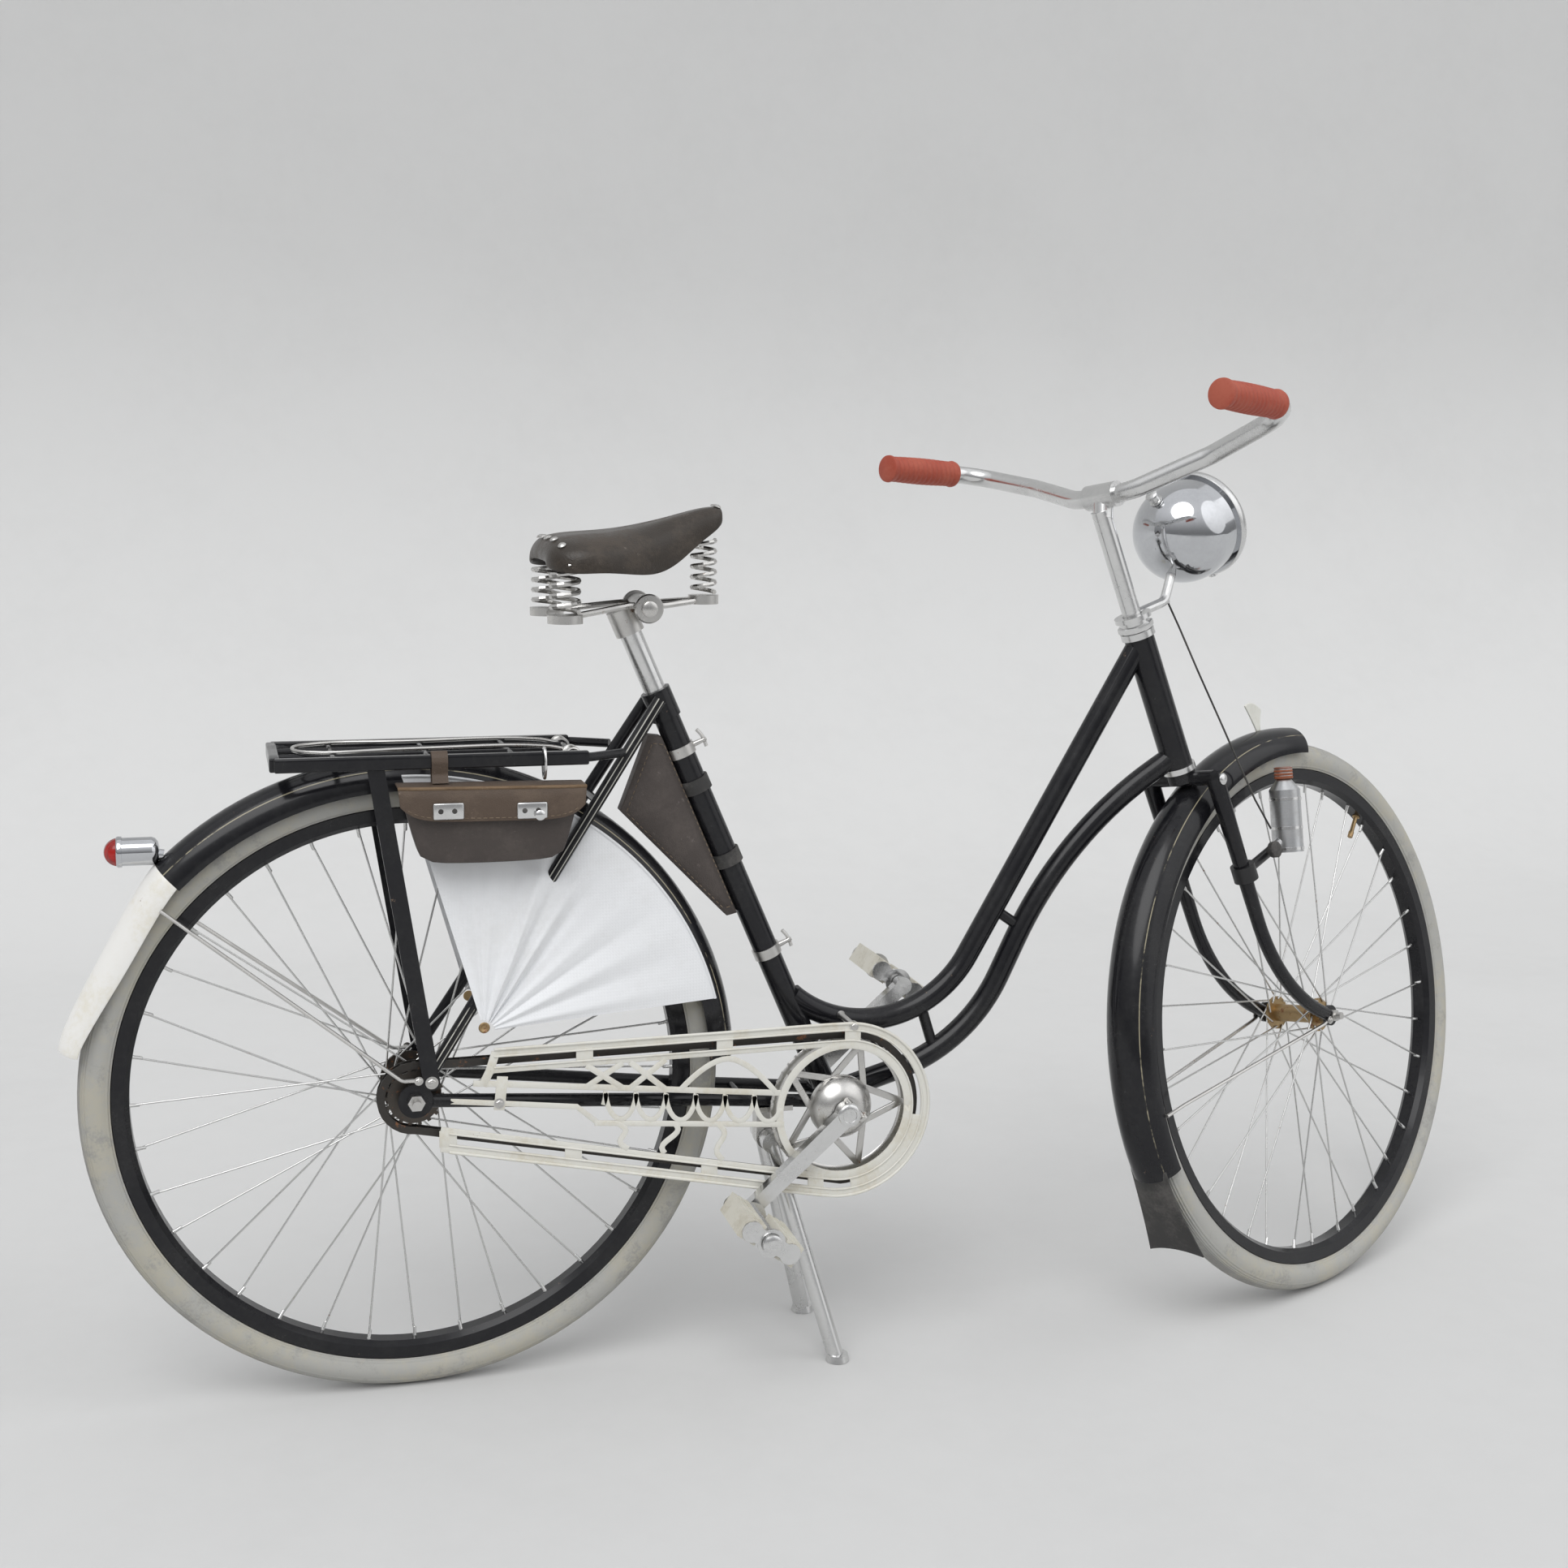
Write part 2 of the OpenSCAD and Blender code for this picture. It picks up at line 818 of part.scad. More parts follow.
// Leather top lofted through its stations
module saddle_leather() {
    sides = 16;
    n = len(saddle_bed);
    function station(s) = [
        for (k = [0 : sides - 1])
            let (a = 180 * k / (sides - 1), half = s[1] * saddle_half)
                [saddle_x + s[0], half * cos(a), s[3] + (s[2] - s[3]) * pow(sin(a), 0.55)]
    ];
    points = [for (s = saddle_bed) each station(s)];
    skin = [
        for (i = [0 : n - 2], k = [0 : sides - 1])
            [i * sides + k, i * sides + (k + 1) % sides, (i + 1) * sides + (k + 1) % sides, (i + 1) * sides + k]
    ];
    ends = [
        [for (k = [sides - 1 : -1 : 0]) k],
        [for (k = [0 : sides - 1]) (n - 1) * sides + k],
    ];
    color(leather)
        polyhedron(points, concat(skin, ends));
}

// Drive

function arc_point(centre, r, angle) = centre + r * [cos(angle), sin(angle)];

// Outline of a belt round the crank axle and the rear axle
module belt(r_front, r_rear) {
    a = tangent_angle(r_front, r_rear);
    front_steps = 40;
    rear_steps = 16;
    polygon(concat(
        [
            for (k = [0 : front_steps])
                arc_point([bb_x, bb_z], r_front, loop_angle - a + 2 * a * k / front_steps)
        ],
        [
            for (k = [0 : rear_steps])
                arc_point([0, tyre_r], r_rear, loop_angle + a + (360 - 2 * a) * k / rear_steps)
        ]
    ));
}

module belt_band(r_front, r_rear, width) {
    difference() {
        belt(r_front, r_rear);
        belt(r_front - width, r_rear - width);
    }
}

// Point on the chain's pitch line, by distance from where it leaves the ring at the top
wrap = tangent_angle(ring_r, sprocket_r);
run_l = sqrt(loop_len * loop_len - pow(ring_r - sprocket_r, 2));
rear_wrap_l = sprocket_r * (360 - 2 * wrap) * PI / 180;
front_wrap_l = ring_r * 2 * wrap * PI / 180;
chain_l = 2 * run_l + rear_wrap_l + front_wrap_l;
function chain_point(s) =
    let (
        up = loop_angle + wrap,
        down = loop_angle - wrap,
        f = [bb_x, bb_z],
        b = [0, tyre_r],
        s2 = s - run_l,
        s3 = s2 - rear_wrap_l,
        s4 = s3 - run_l
    )
    s < run_l ? arc_point(f, ring_r, up) * (1 - s / run_l) + arc_point(b, sprocket_r, up) * s / run_l
    : s2 < rear_wrap_l ? arc_point(b, sprocket_r, up + s2 / rear_wrap_l * (360 - 2 * wrap))
    : s3 < run_l ? arc_point(b, sprocket_r, down) * (1 - s3 / run_l) + arc_point(f, ring_r, down) * s3 / run_l
    : arc_point(f, ring_r, down + s4 / front_wrap_l * 2 * wrap);

module chain() {
    plate_t = 1.4;
    half = 5;
    rollers = round(chain_l / pitch);
    color([0.12, 0.11, 0.1]) {
        for (y = [-chain_line - half, -chain_line + half - plate_t])
            side_plate(y, y + plate_t)
                belt_band(ring_r + plate_half, sprocket_r + plate_half, 2 * plate_half);
        side_plate(-chain_line - half + plate_t, -chain_line + half - plate_t)
            for (i = [0 : rollers - 1])
                translate(chain_point(i * chain_l / rollers))
                    circle(roller_r, $fn = 6);
    }
}

module toothed_disc(teeth, r, t) {
    tip = r - roller_r - tooth_gap;
    side_plate(-chain_line - t / 2, -chain_line + t / 2) {
        circle(tip - 3, $fn = 96);
        for (i = [0 : teeth - 1])
            rotate(360 * i / teeth)
                translate([tip - 4, -2])
                    square([4, 4]);
    }
}

module chainring() {
    rim_in = ring_r - 17;
    hub_r = 34;
    arms = 6;
    color(chrome)
        translate(bb)
            difference() {
                union() {
                    difference() {
                        toothed_disc(ring_teeth, ring_r - 1.2, ring_t);
                        side_plate(-chain_line - 5, -chain_line + 5)
                            difference() {
                                circle(rim_in);
                                circle(hub_r);
                                for (i = [0 : arms - 1])
                                    rotate(360 * i / arms)
                                        translate([hub_r - 6, -5])
                                            square([rim_in - hub_r + 10, 10]);
                            }
                    }
                    rod([0, -chain_line - 14, 0], [0, -chain_line, 0], hub_r - 12, hub_r);
                }
                rod([0, -crank_in, 0], [0, -20, 0], crank_axle_r);
            }
}

module crank_axle() {
    color(chrome)
        rod([bb_x, -crank_in, bb_z], [bb_x, crank_in, bb_z], crank_axle_r);
}

function crank_end(side) = bb - side * crank_l * [cos(crank_angle), 0, sin(crank_angle)];

// Tapered crank with its pedal spindle
module crank(side) {
    low = side > 0 ? crank_in : -crank_in - crank_t;
    eye = crank_end(side);
    spindle_from = crank_in + crank_t;
    boss = 14;
    eye_r = 10.5;
    color(chrome) {
        side_plate(low, low + crank_t) {
            translate([bb_x, bb_z])
                circle(boss);
            translate([eye.x, eye.z])
                circle(eye_r);
            translate([bb_x, bb_z])
                rotate(crank_angle + (side > 0 ? 180 : 0))
                    polygon([[0, -10.5], [crank_l, -8.5], [crank_l, 8.5], [0, 10.5]]);
        }
        rod(eye + [0, side * spindle_from, 0], eye + [0, side * (pedal_in + pedal_l - 4), 0], spindle_r);
        rod(eye + [0, side * spindle_from, 0], eye + [0, side * (pedal_in - 1.5), 0], 8.5);
    }
}

module crank_right() {
    crank(-1);
}

module crank_left() {
    crank(1);
}

// Pedal cage: spindle tube, two end plates and the dust cap
module pedal_cage(side) {
    plate_t = 2.5;
    tube_r = 10;
    color(chrome)
        translate(crank_end(side))
            rotate([0, -pedal_tilt, 0])
                mirror([0, side > 0 ? 0 : 1, 0])
                    difference() {
                        union() {
                            rod([0, pedal_in, 0], [0, pedal_in + pedal_l, 0], tube_r);
                            for (y = [pedal_in + 1, pedal_in + pedal_l - plate_t - 3])
                                side_plate(y, y + plate_t) {
                                    circle(16);
                                    for (x = [-26, 26])
                                        translate([x, 0])
                                            circle(12);
                                    square([52, 18], center = true);
                                }
                        }
                        rod([0, pedal_in - 1, 0], [0, pedal_in + pedal_l - 3, 0], spindle_r + 0.3);
                    }
}

module pedal_rubbers(side) {
    from = pedal_in + 3.7;
    to = pedal_in + pedal_l - 5.7;
    color(cream)
        translate(crank_end(side))
            rotate([0, -pedal_tilt, 0])
                mirror([0, side > 0 ? 0 : 1, 0])
                    for (x = [-26, 26])
                        side_plate(from, to)
                            translate([x, 0])
                                difference() {
                                    square([23, 25], center = true);
                                    for (sx = [-1, 1], sz = [-1, 1])
                                        translate([sx * 4, sz * 12.5])
                                            circle(1.6, $fn = 16);
                                }
}

module pedal_right() {
    pedal_cage(-1);
}

module pedal_right_rubbers() {
    pedal_rubbers(-1);
}

module pedal_left() {
    pedal_cage(1);
}

module pedal_left_rubbers() {
    pedal_rubbers(1);
}

// Open pressed guard: two rails, a ring round the chainring and a lattice between
module chain_guard() {
    rail = 7;
    gap = 8;
    inner_front = guard_front_r - rail - gap;
    inner_rear = guard_rear_r - rail - gap;
    window_r = ring_r - 9;
    clip_x = 90;
    clip_z = tyre_r + (bb_z - tyre_r) * clip_x / bb_x;
    clip_y = 32.5 + (drop_in + 1 - 32.5) * (320 - clip_x) / 310 + chain_stay_r - 0.6;
    post_at = [bb_x + 10, bb_z + guard_front_r - 4];
    post_end = 13.4;
    color(cream) {
        side_plate(-guard_plate_y, -guard_plate_y + guard_plate_t)
            difference() {
                union() {
                    belt_band(guard_front_r, guard_rear_r, rail);
                    belt_band(inner_front, inner_rear, rail);
                    guard_ties(inner_front + 1, rail + gap + 1);
                    translate([bb_x, bb_z])
                        difference() {
                            circle(inner_front - 3, $fn = 96);
                            circle(window_r, $fn = 96);
                        }
                    intersection() {
                        belt(inner_front - 1, inner_rear - 1);
                        guard_lattice(window_r);
                    }
                }
                guard_rear_cut();
                translate([bb_x, bb_z])
                    circle(window_r - 0.5, $fn = 96);
            }
        rod([clip_x, -guard_plate_y + guard_plate_t, clip_z], [clip_x, -clip_y, clip_z], 5);
        rod([post_at.x, -guard_plate_y + guard_plate_t, post_at.y], [post_at.x, -post_end, post_at.y], 3.5);
    }
}

// Rear end of the guard, open round the sprocket
module guard_rear_cut() {
    polygon([[-120, 200], [22, 200], [22, 290], [58, 336], [70, 362], [86, 420], [86, 460], [-120, 460]]);
}

// Short ties between the two rails
module guard_ties(r, long) {
    translate([bb_x, bb_z])
        for (a = [-80, -10, 80])
            rotate(a)
                translate([r - 2, -7])
                    square([long, 14]);
    for (x = [150, 265, 370]) {
        for (up = [-1, 1])
            translate([x, tyre_r + (bb_z - tyre_r) * x / bb_x])
                rotate(up * 10 - 5)
                    translate([-8, up > 0 ? guard_rear_r - 24 + x * 0.09 : -guard_rear_r + 4 - x * 0.09])
                        square([16, 20]);
    }
}

// Bars, slanting slats and an arch in the guard's middle
module guard_lattice(window_r) {
    mid = tyre_r + (bb_z - tyre_r) * 0.5;
    for (dz = [-15, 21])
        translate([86, mid + dz])
            square([bb_x - window_r - 80, 6]);
    for (x = [150 : 26 : 320])
        translate([x, mid - 12])
            rotate(58)
                square([44, 5]);
    translate([320, mid + 8])
        difference() {
            circle(50);
            circle(44);
            translate([-60, -60])
                square([120, 74]);
        }
    for (x = [120, 226])
        translate([x, mid - 70])
            rotate(x < 200 ? 62 : 118)
                square([70, 6]);
    translate([66, 345])
        square([26, 14]);
}

// Stand

module stand_bracket() {
    plate_top = bb_z + 1.5;
    color(chrome)
        difference() {
            union() {
                translate([stand_x - 22, -36, plate_top - 6])
                    cube([44, 72, 6]);
                side_plate(-lug_half, lug_half) {
                    translate([stand_x, stand_z])
                        circle(14);
                    translate([stand_x - 14, stand_z])
                        square([28, plate_top - stand_z - 3]);
                }
            }
            rod(pivot + [0, -50, 0], pivot + [0, 50, 0], pin_r + fit_gap);
        }
}

function foot_at(side) = [stand_x + foot_lead, side * foot_half, 0];

module centre_stand() {
    color(chrome) {
        rod(pivot + [0, -leg_top_y - 10, 0], pivot + [0, leg_top_y + 10, 0], pin_r);
        for (side = [-1, 1]) {
            rod(pivot + [0, side * (lug_half + 0.8), 0], pivot + [0, side * (leg_top_y + 9), 0], 12);
            intersection() {
                rod(pivot + [0, side * leg_top_y, 0], foot_at(side) + [1, 0, -6], leg_r);
                translate([0, -200, 0])
                    cube([800, 400, 400]);
            }
            translate(foot_at(side))
                cylinder(h = foot_h, r1 = 14, r2 = 12);
        }
    }
}

// Wheels, drawn round the origin with their axle along Y

module about_y() {
    rotate([90, 0, 0])
        children();
}

module tyre() {
    color(tyre_grey)
        about_y()
            rotate_extrude($fn = 96)
                difference() {
                    translate([tyre_ring_r, 0])
                        circle(tyre_section_r);
                    difference() {
                        translate([0, -tyre_w])
                            square([rim_r + fit_gap, 2 * tyre_w]);
                        translate([rim_bed_r + fit_gap, -rim_w / 2 + rim_wall + fit_gap])
                            square([rim_r, rim_w - 2 * rim_wall - 2 * fit_gap]);
                    }
                }
}

module rim() {
    inner_r = rim_r - rim_depth;
    half = rim_w / 2;
    color(paint_black)
        about_y()
            rotate_extrude($fn = 96)
                polygon([
                    [inner_r, -half + 7],
                    [inner_r + 5, -half + 1],
                    [rim_r - 1, -half],
                    [rim_r, -half + 1],
                    [rim_r, -half + rim_wall],
                    [rim_bed_r, -half + rim_wall],
                    [rim_bed_r, half - rim_wall],
                    [rim_r, half - rim_wall],
                    [rim_r, half - 1],
                    [rim_r - 1, half],
                    [inner_r + 5, half - 1],
                    [inner_r, half - 7],
                ]);
}

// Laced spokes from the hub's flanges to the rim
module spokes(flange_r, flange_half) {
    per_side = spoke_count / 2;
    step = 360 / per_side;
    lace = 3 * step;
    rim_in = rim_r - rim_depth + 2;
    function polar(r, a, y) = [r * cos(a), y, r * sin(a)];
    color(chrome)
        for (side = [-1, 1], k = [0 : per_side - 1]) {
            hub_a = step * (k + (side > 0 ? 0.5 : 0));
            lead = k % 2 == 0 ? 1 : -1;
            head_y = side * (flange_half + lead * 3);
            rod(
                polar(flange_r - 3, hub_a, head_y),
                polar(rim_in, hub_a + lead * lace, side * 3),
                spoke_d / 2,
                $fn = 16
            );
        }
}

module rear_wheel_place() {
    translate(axle)
        children();
}

module front_wheel_place() {
    steered()
        translate([fork_offset, 0, 0])
            children();
}

module rear_tyre() {
    rear_wheel_place()
        tyre();
}

module rear_rim() {
    rear_wheel_place()
        rim();
}

rear_flange_half = 27;

module rear_spokes() {
    rear_wheel_place()
        spokes(rear_flange_r, rear_flange_half);
}

module hub_disc(y_from, y_to, r) {
    rod([0, y_from, 0], [0, y_to, 0], r);
}

module rear_hub() {
    color(chrome)
        rear_wheel_place()
            difference() {
                union() {
                    hub_disc(-rear_hub_half, rear_hub_half, 13);
                    hub_disc(-rear_flange_half - 3, rear_flange_half + 3, 21);
                    for (side = [-1, 1])
                        hub_disc(side * rear_flange_half - 2, side * rear_flange_half + 2, rear_flange_r);
                    toothed_disc(sprocket_teeth, sprocket_r, ring_t);
                }
                hub_disc(-rear_hub_half - 1, rear_hub_half + 1, rear_axle_r + fit_gap);
            }
}

front_flange_half = 31;

module front_tyre() {
    front_wheel_place()
        tyre();
}

module front_rim() {
    front_wheel_place()
        rim();
}

module front_spokes() {
    front_wheel_place()
        spokes(front_flange_r, front_flange_half);
}

module front_hub() {
    color([0.62, 0.52, 0.36])
        front_wheel_place()
            difference() {
                union() {
                    hub_disc(-front_hub_half + 4, front_hub_half - 4, 11);
                    for (side = [-1, 1])
                        hub_disc(side * front_flange_half - 2, side * front_flange_half + 2, front_flange_r);
                }
                hub_disc(-front_hub_half, front_hub_half, front_axle_r + fit_gap);
            }
}

// Steering, drawn in the steering frame

module fork() {
    crown_high = head_low - 8;
    bore_half = blade_half + 30;
    color(paint_black)
        steered()
            difference() {
                union() {
                    rod([0, 0, crown_z - 2], [0, 0, head_high + 14], steerer_r);
                    rod([0, 0, crown_z - 2], [0, 0, crown_high], head_tube_r);
                    rod([0, -blade_half, crown_z], [0, blade_half, crown_z], crown_r);
                    for (side = [-1, 1]) {
                        rod([0, side * blade_half, rake_drop], [0, side * blade_half, crown_z], blade_tip_r, blade_r);
                        translate([rake_bend, side * blade_half, rake_drop])
                            rotate([90, 0, 0])
                                rotate([0, 0, 180])
                                    rotate_extrude(angle = rake_angle)
                                        translate([rake_bend, 0])
                                            circle(blade_tip_r);
                        rod(
                            [fork_offset, side * (blade_half - 2.5), 0],
                            [fork_offset, side * (blade_half + 2.5), 0],
                            13
                        );
                    }
                }
                rod([fork_offset, -bore_half, 0], [fork_offset, bore_half, 0], front_axle_r + 0.1);
                for (side = [-1, 1]) {
                    rod([fork_offset, side * 20, 0], [fork_offset, side * (blade_half - 2.5), 0], 11);
                    rod([fork_offset, side * (blade_half + 2.5), 0], [fork_offset, side * bore_half, 0], 11);
                }
            }
}

module front_axle() {
    out = blade_half + 2.6;
    color(chrome)
        steered()
            translate([fork_offset, 0, 0]) {
                rod([0, -out - 15, 0], [0, out + 15, 0], front_axle_r);
                both_sides()
                    rod([0, out, 0], [0, out + 7, 0], 8, $fn = 6);
            }
}

module stem() {
    top = [stem_reach, 0, stem_top];
    color(chrome)
        steered()
            difference() {
                union() {
                    rod([0, 0, head_high + 14], [0, 0, stem_top - 14], steerer_r - 1.5);
                    rod([0, 0, head_high + 8.3], [0, 0, head_high + 22], head_tube_r);
                    rod([0, 0, stem_top - 24], top, 12);
                    rod(top + [0, -22, 0], top + [0, 22, 0], bar_r + 4);
                }
                rod([0, 0, head_high], [0, 0, head_high + 14], steerer_r);
                rod(top + [0, -40, 0], top + [0, 40, 0], bar_r);
            }
}

// Half of the handlebar's route, from the clamp to the grip's end
function bar_route(side) = [
    [stem_reach, 0, stem_top],
    [stem_reach, side * 40, stem_top],
    [stem_reach + 46, side * 130, stem_top + 14],
    [stem_reach + 62, side * (grip_half - 8), stem_top + 44],
    [-58, side * grip_half, stem_top + 98],
];

module handlebar() {
    clamp_half = 40;
    top = [stem_reach, 0, stem_top];
    color(chrome)
        steered() {
            rod(top + [0, -clamp_half, 0], top + [0, clamp_half, 0], bar_r);
            for (side = [-1, 1])
                swept_bar(
                    [for (p = rounded(bar_route(side), [60, 60, 42])) if (abs(p.y) > clamp_half - 6) p],
                    bar_r,
                    16,
                    [0, 0, 1]
                );
        }
}

module grips() {
    color([0.7, 0.29, 0.2])
        steered()
            for (side = [-1, 1]) {
                pts = bar_route(side);
                along = unit(pts[4] - pts[3]);
                difference() {
                    rod(pts[4] - along * (grip_l - 6), pts[4] + along * 6, 15, 16.5);
                    rod(pts[4] - along * grip_l, pts[4] + along * 0.2, bar_r + 0.1);
                }
            }
}

lamp_centre = [142, 0, 639];
lamp_back = 30;
lamp_wall = 2;

module headlamp() {
    color(chrome)
        steered()
            translate(lamp_centre)
                rotate([0, 90, 0])
                    difference() {
                        union() {
                            sphere(lamp_r);
                            cylinder(h = lamp_r * 0.55, r = lamp_r);
                            translate([0, 0, lamp_r * 0.55 - 8])
                                cylinder(h = 10, r = lamp_r + 3);
                        }
                        translate([0, 0, lamp_r * 0.55 + 2])
                            cylinder(h = lamp_r, r = lamp_r + 9);
                        cylinder(h = lamp_r, r = lamp_r - lamp_wall);
                        sphere(lamp_r - lamp_wall);
                    }
}

module headlamp_lens() {
    color([0.85, 0.88, 0.88])
        steered()
            translate(lamp_centre + [lamp_r * 0.55 + 2, 0, 0])
                rotate([0, 90, 0])
                    intersection() {
                        translate([0, 0, -84])
                            sphere(104.7);
                        cylinder(h = 30, r = lamp_r);
                    }
}

module headlamp_bracket() {
    color(chrome)
        steered()
            difference() {
                union() {
                    bent_rod([[10, 0, head_high + 26], [66, 0, head_high + 20], [100, 0, 606]], 20, 6, 12);
                    rod([0, 0, head_high + 22.2], [0, 0, head_high + 28], head_tube_r + 4);
                    rod([72, 0, 572], [72, 0, 582], 3);
                }
                rod([0, 0, head_high], [0, 0, head_high + 60], steerer_r - 0.9);
                rod([0, 0, head_high], [0, 0, head_high + 22.1], head_tube_r + 0.3);
                translate(lamp_centre)
                    sphere(lamp_r + 0.1);
            }
}

module dynamo() {
    low = [90, -54, 228];
    high = [118, -54, 300];
    tip = high + unit(high - low) * 28;
    grip = [2, -blade_half, 242];
    color([0.68, 0.7, 0.72])
        steered()
            difference() {
                union() {
                    rod(low, high, 19);
                    rod(high, tip - unit(high - low) * 14, 19, 8);
                    rod(tip - unit(high - low) * 14, tip, 11);
                    rod(grip, [96, -54, 246], 6);
                    rod(grip + [0, 0, -10], grip + [0, 0, 10], 15);
                }
                rod([0, -blade_half, rake_drop], [0, -blade_half, crown_z], blade_tip_r + 0.2, blade_r + 0.2);
            }
}

module lamp_wire() {
    color([0.3, 0.3, 0.32])
        steered()
            swept_bar(wire_route, wire_r, wire_sides);
}

module front_guard_place() {
    steered()
        translate([fork_offset, 0, 0])
            children();
}

module front_mudguard() {
    color(paint_black)
        front_guard_place()
            difference() {
                guard_arc([0, 0, 0], guard_ring_r, front_guard_tip, front_guard_end);
                translate([-fork_offset, 0, 0])
                    rod([0, -blade_half, crown_z], [0, blade_half, crown_z], crown_r + fit_gap);
            }
}

// Flap hanging from the mudguard's rear end by a tab
module mud_flap() {
    flap_t = 2.4;
    hang = 24;
    tab = 14;
    color([0.1, 0.1, 0.1])
        front_guard_place()
            rotate([0, 180 - front_guard_end, 0])
                translate([-guard_crown_r - fit_gap, 0, 0]) {
                    translate([-flap_t, -tab, 0])
                        cube([flap_t, 2 * tab, tab]);
                    rotate([0, hang, 0])
                        translate([-flap_t, 0, 0])
                            rotate([90, 0, 90])
                                linear_extrude(flap_t)
                                    polygon([[-36, 0], [36, 0], [42, -58], [-42, -58]]);
                }
}

module front_mudguard_stays() {
    at = 172;
    edge = (guard_ring_r - 2) * [cos(at), 0, sin(at)];
    y = guard_section_r + stay_wire_r + 0.3;
    color(chrome)
        front_guard_place()
            both_sides()
                bent_rod([
                    edge + [0, y, 0],
                    edge * 0.9 + [0, y, 0],
                    [-24, blade_half + 5, 0],
                    [-12, blade_half + 5, 0],
                ], 12, stay_wire_r, wire_sides);
}

module mudguard_fin() {
    at = 76;
    color([0.85, 0.86, 0.82])
        front_guard_place()
            rotate([0, -at, 0])
                translate([guard_crown_r + 0.2, 0, 0])
                    side_plate(-2, 2)
                        polygon([[0, -14], [0, 14], [30, 16], [46, 22], [40, 4], [22, -8]]);
}

head_tube();
headset_cups();
upper_tube();
lower_tube();
frame_struts();
seat_tube();
bottom_bracket_shell();
chain_stays();
seat_stays();
rear_axle();
rear_mudguard();
mudguard_tail();
rear_mudguard_stays();
tail_lamp();
tail_lamp_lens();
rear_rack();
rack_struts();
skirt_guard_right();
skirt_guard_left();
tool_bag();
frame_bag();
seat_post();
saddle_frame();
saddle_springs();
saddle_leather();
chain_guard();
chain();
stand_bracket();
centre_stand();
crank_axle();
chainring();
crank_right();
crank_left();
pedal_right();
pedal_right_rubbers();
pedal_left();
pedal_left_rubbers();
rear_tyre();
rear_rim();
rear_spokes();
rear_hub();
fork();
stem();
handlebar();
grips();
headlamp();
headlamp_lens();
headlamp_bracket();
dynamo();
lamp_wire();
front_mudguard();
mud_flap();
front_mudguard_stays();
mudguard_fin();
front_axle();
front_tyre();
front_rim();
front_spokes();
front_hub();
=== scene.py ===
"""Step-through roadster bicycle, dressed for its portrait: finishes, leather, cloth and small fittings."""
import math

import bpy
from mathutils import Matrix, Vector


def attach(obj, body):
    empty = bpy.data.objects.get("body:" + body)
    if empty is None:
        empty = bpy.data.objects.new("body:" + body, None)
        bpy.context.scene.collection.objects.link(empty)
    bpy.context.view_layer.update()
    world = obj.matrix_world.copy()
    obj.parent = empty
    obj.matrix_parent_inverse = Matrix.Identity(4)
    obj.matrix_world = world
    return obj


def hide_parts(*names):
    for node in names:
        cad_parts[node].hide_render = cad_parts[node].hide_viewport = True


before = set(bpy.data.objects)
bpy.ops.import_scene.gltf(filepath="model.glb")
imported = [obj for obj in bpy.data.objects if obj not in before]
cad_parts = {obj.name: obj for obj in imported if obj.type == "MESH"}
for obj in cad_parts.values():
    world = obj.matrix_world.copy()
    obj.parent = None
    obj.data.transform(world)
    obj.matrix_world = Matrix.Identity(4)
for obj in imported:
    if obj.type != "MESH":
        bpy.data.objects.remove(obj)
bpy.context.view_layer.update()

SIDES = ((-1, "right"), (1, "left"))
REAR_AXLE = Vector((0, 0, 0.350))
CRANK = Vector((0.488, 0, 0.301))
SEAT_TOP = Vector((0.2771, 0, 0.7861))

# The steering frame: forward, left and up the steering axis
STEER_LEAN = math.radians(20.7)
STEER_TURN = math.radians(28)
STEER_ORIGIN = Vector((1.064487, 0, 0.318896))
STEER = (
    Matrix.Translation(STEER_ORIGIN)
    @ Matrix.Rotation(-STEER_LEAN, 4, "Y")
    @ Matrix.Rotation(STEER_TURN, 4, "Z")
)
FRONT_AXLE = STEER @ Matrix.Translation((0.085, 0, 0))


# Small modelling helpers


def deselect():
    if bpy.context.object and bpy.context.object.mode != "OBJECT":
        bpy.ops.object.mode_set(mode="OBJECT")
    bpy.ops.object.select_all(action="DESELECT")


def only(obj):
    deselect()
    obj.select_set(True)
    bpy.context.view_layer.objects.active = obj


def added(name):
    obj = bpy.context.object
    obj.name = name
    obj.data.name = name
    return obj


def settle(obj):
    """Puts the object's place, turn and size into its mesh."""
    only(obj)
    bpy.ops.object.transform_apply(location=True, rotation=True, scale=True)


def place(obj, matrix):
    obj.matrix_world = matrix @ obj.matrix_world
    bpy.context.view_layer.update()
    settle(obj)
    return obj


def modify(obj, kind, **values):
    only(obj)
    mod = obj.modifiers.new(kind.title(), kind)
    for key, value in values.items():
        setattr(mod, key, value)
    bpy.ops.object.modifier_apply(modifier=mod.name)


def edit_all(obj):
    """Opens the object's mesh for editing with everything selected."""
    only(obj)
    bpy.ops.object.mode_set(mode="EDIT")
    bpy.ops.mesh.select_all(action="SELECT")


def outward(obj):
    """Merges doubles and turns every face outwards."""
    edit_all(obj)
    bpy.ops.mesh.remove_doubles(threshold=0.00001)
    bpy.ops.mesh.normals_make_consistent(inside=False)
    bpy.ops.object.mode_set(mode="OBJECT")


def finish_piece(obj, finish, body="frame", smooth_angle=40):
    """Gives a piece its finish and the body that it rides on."""
    settle(obj)
    bpy.ops.object.shade_smooth_by_angle(angle=math.radians(smooth_angle))
    obj.data.materials.clear()
    obj.data.materials.append(M[finish])
    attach(obj, body)


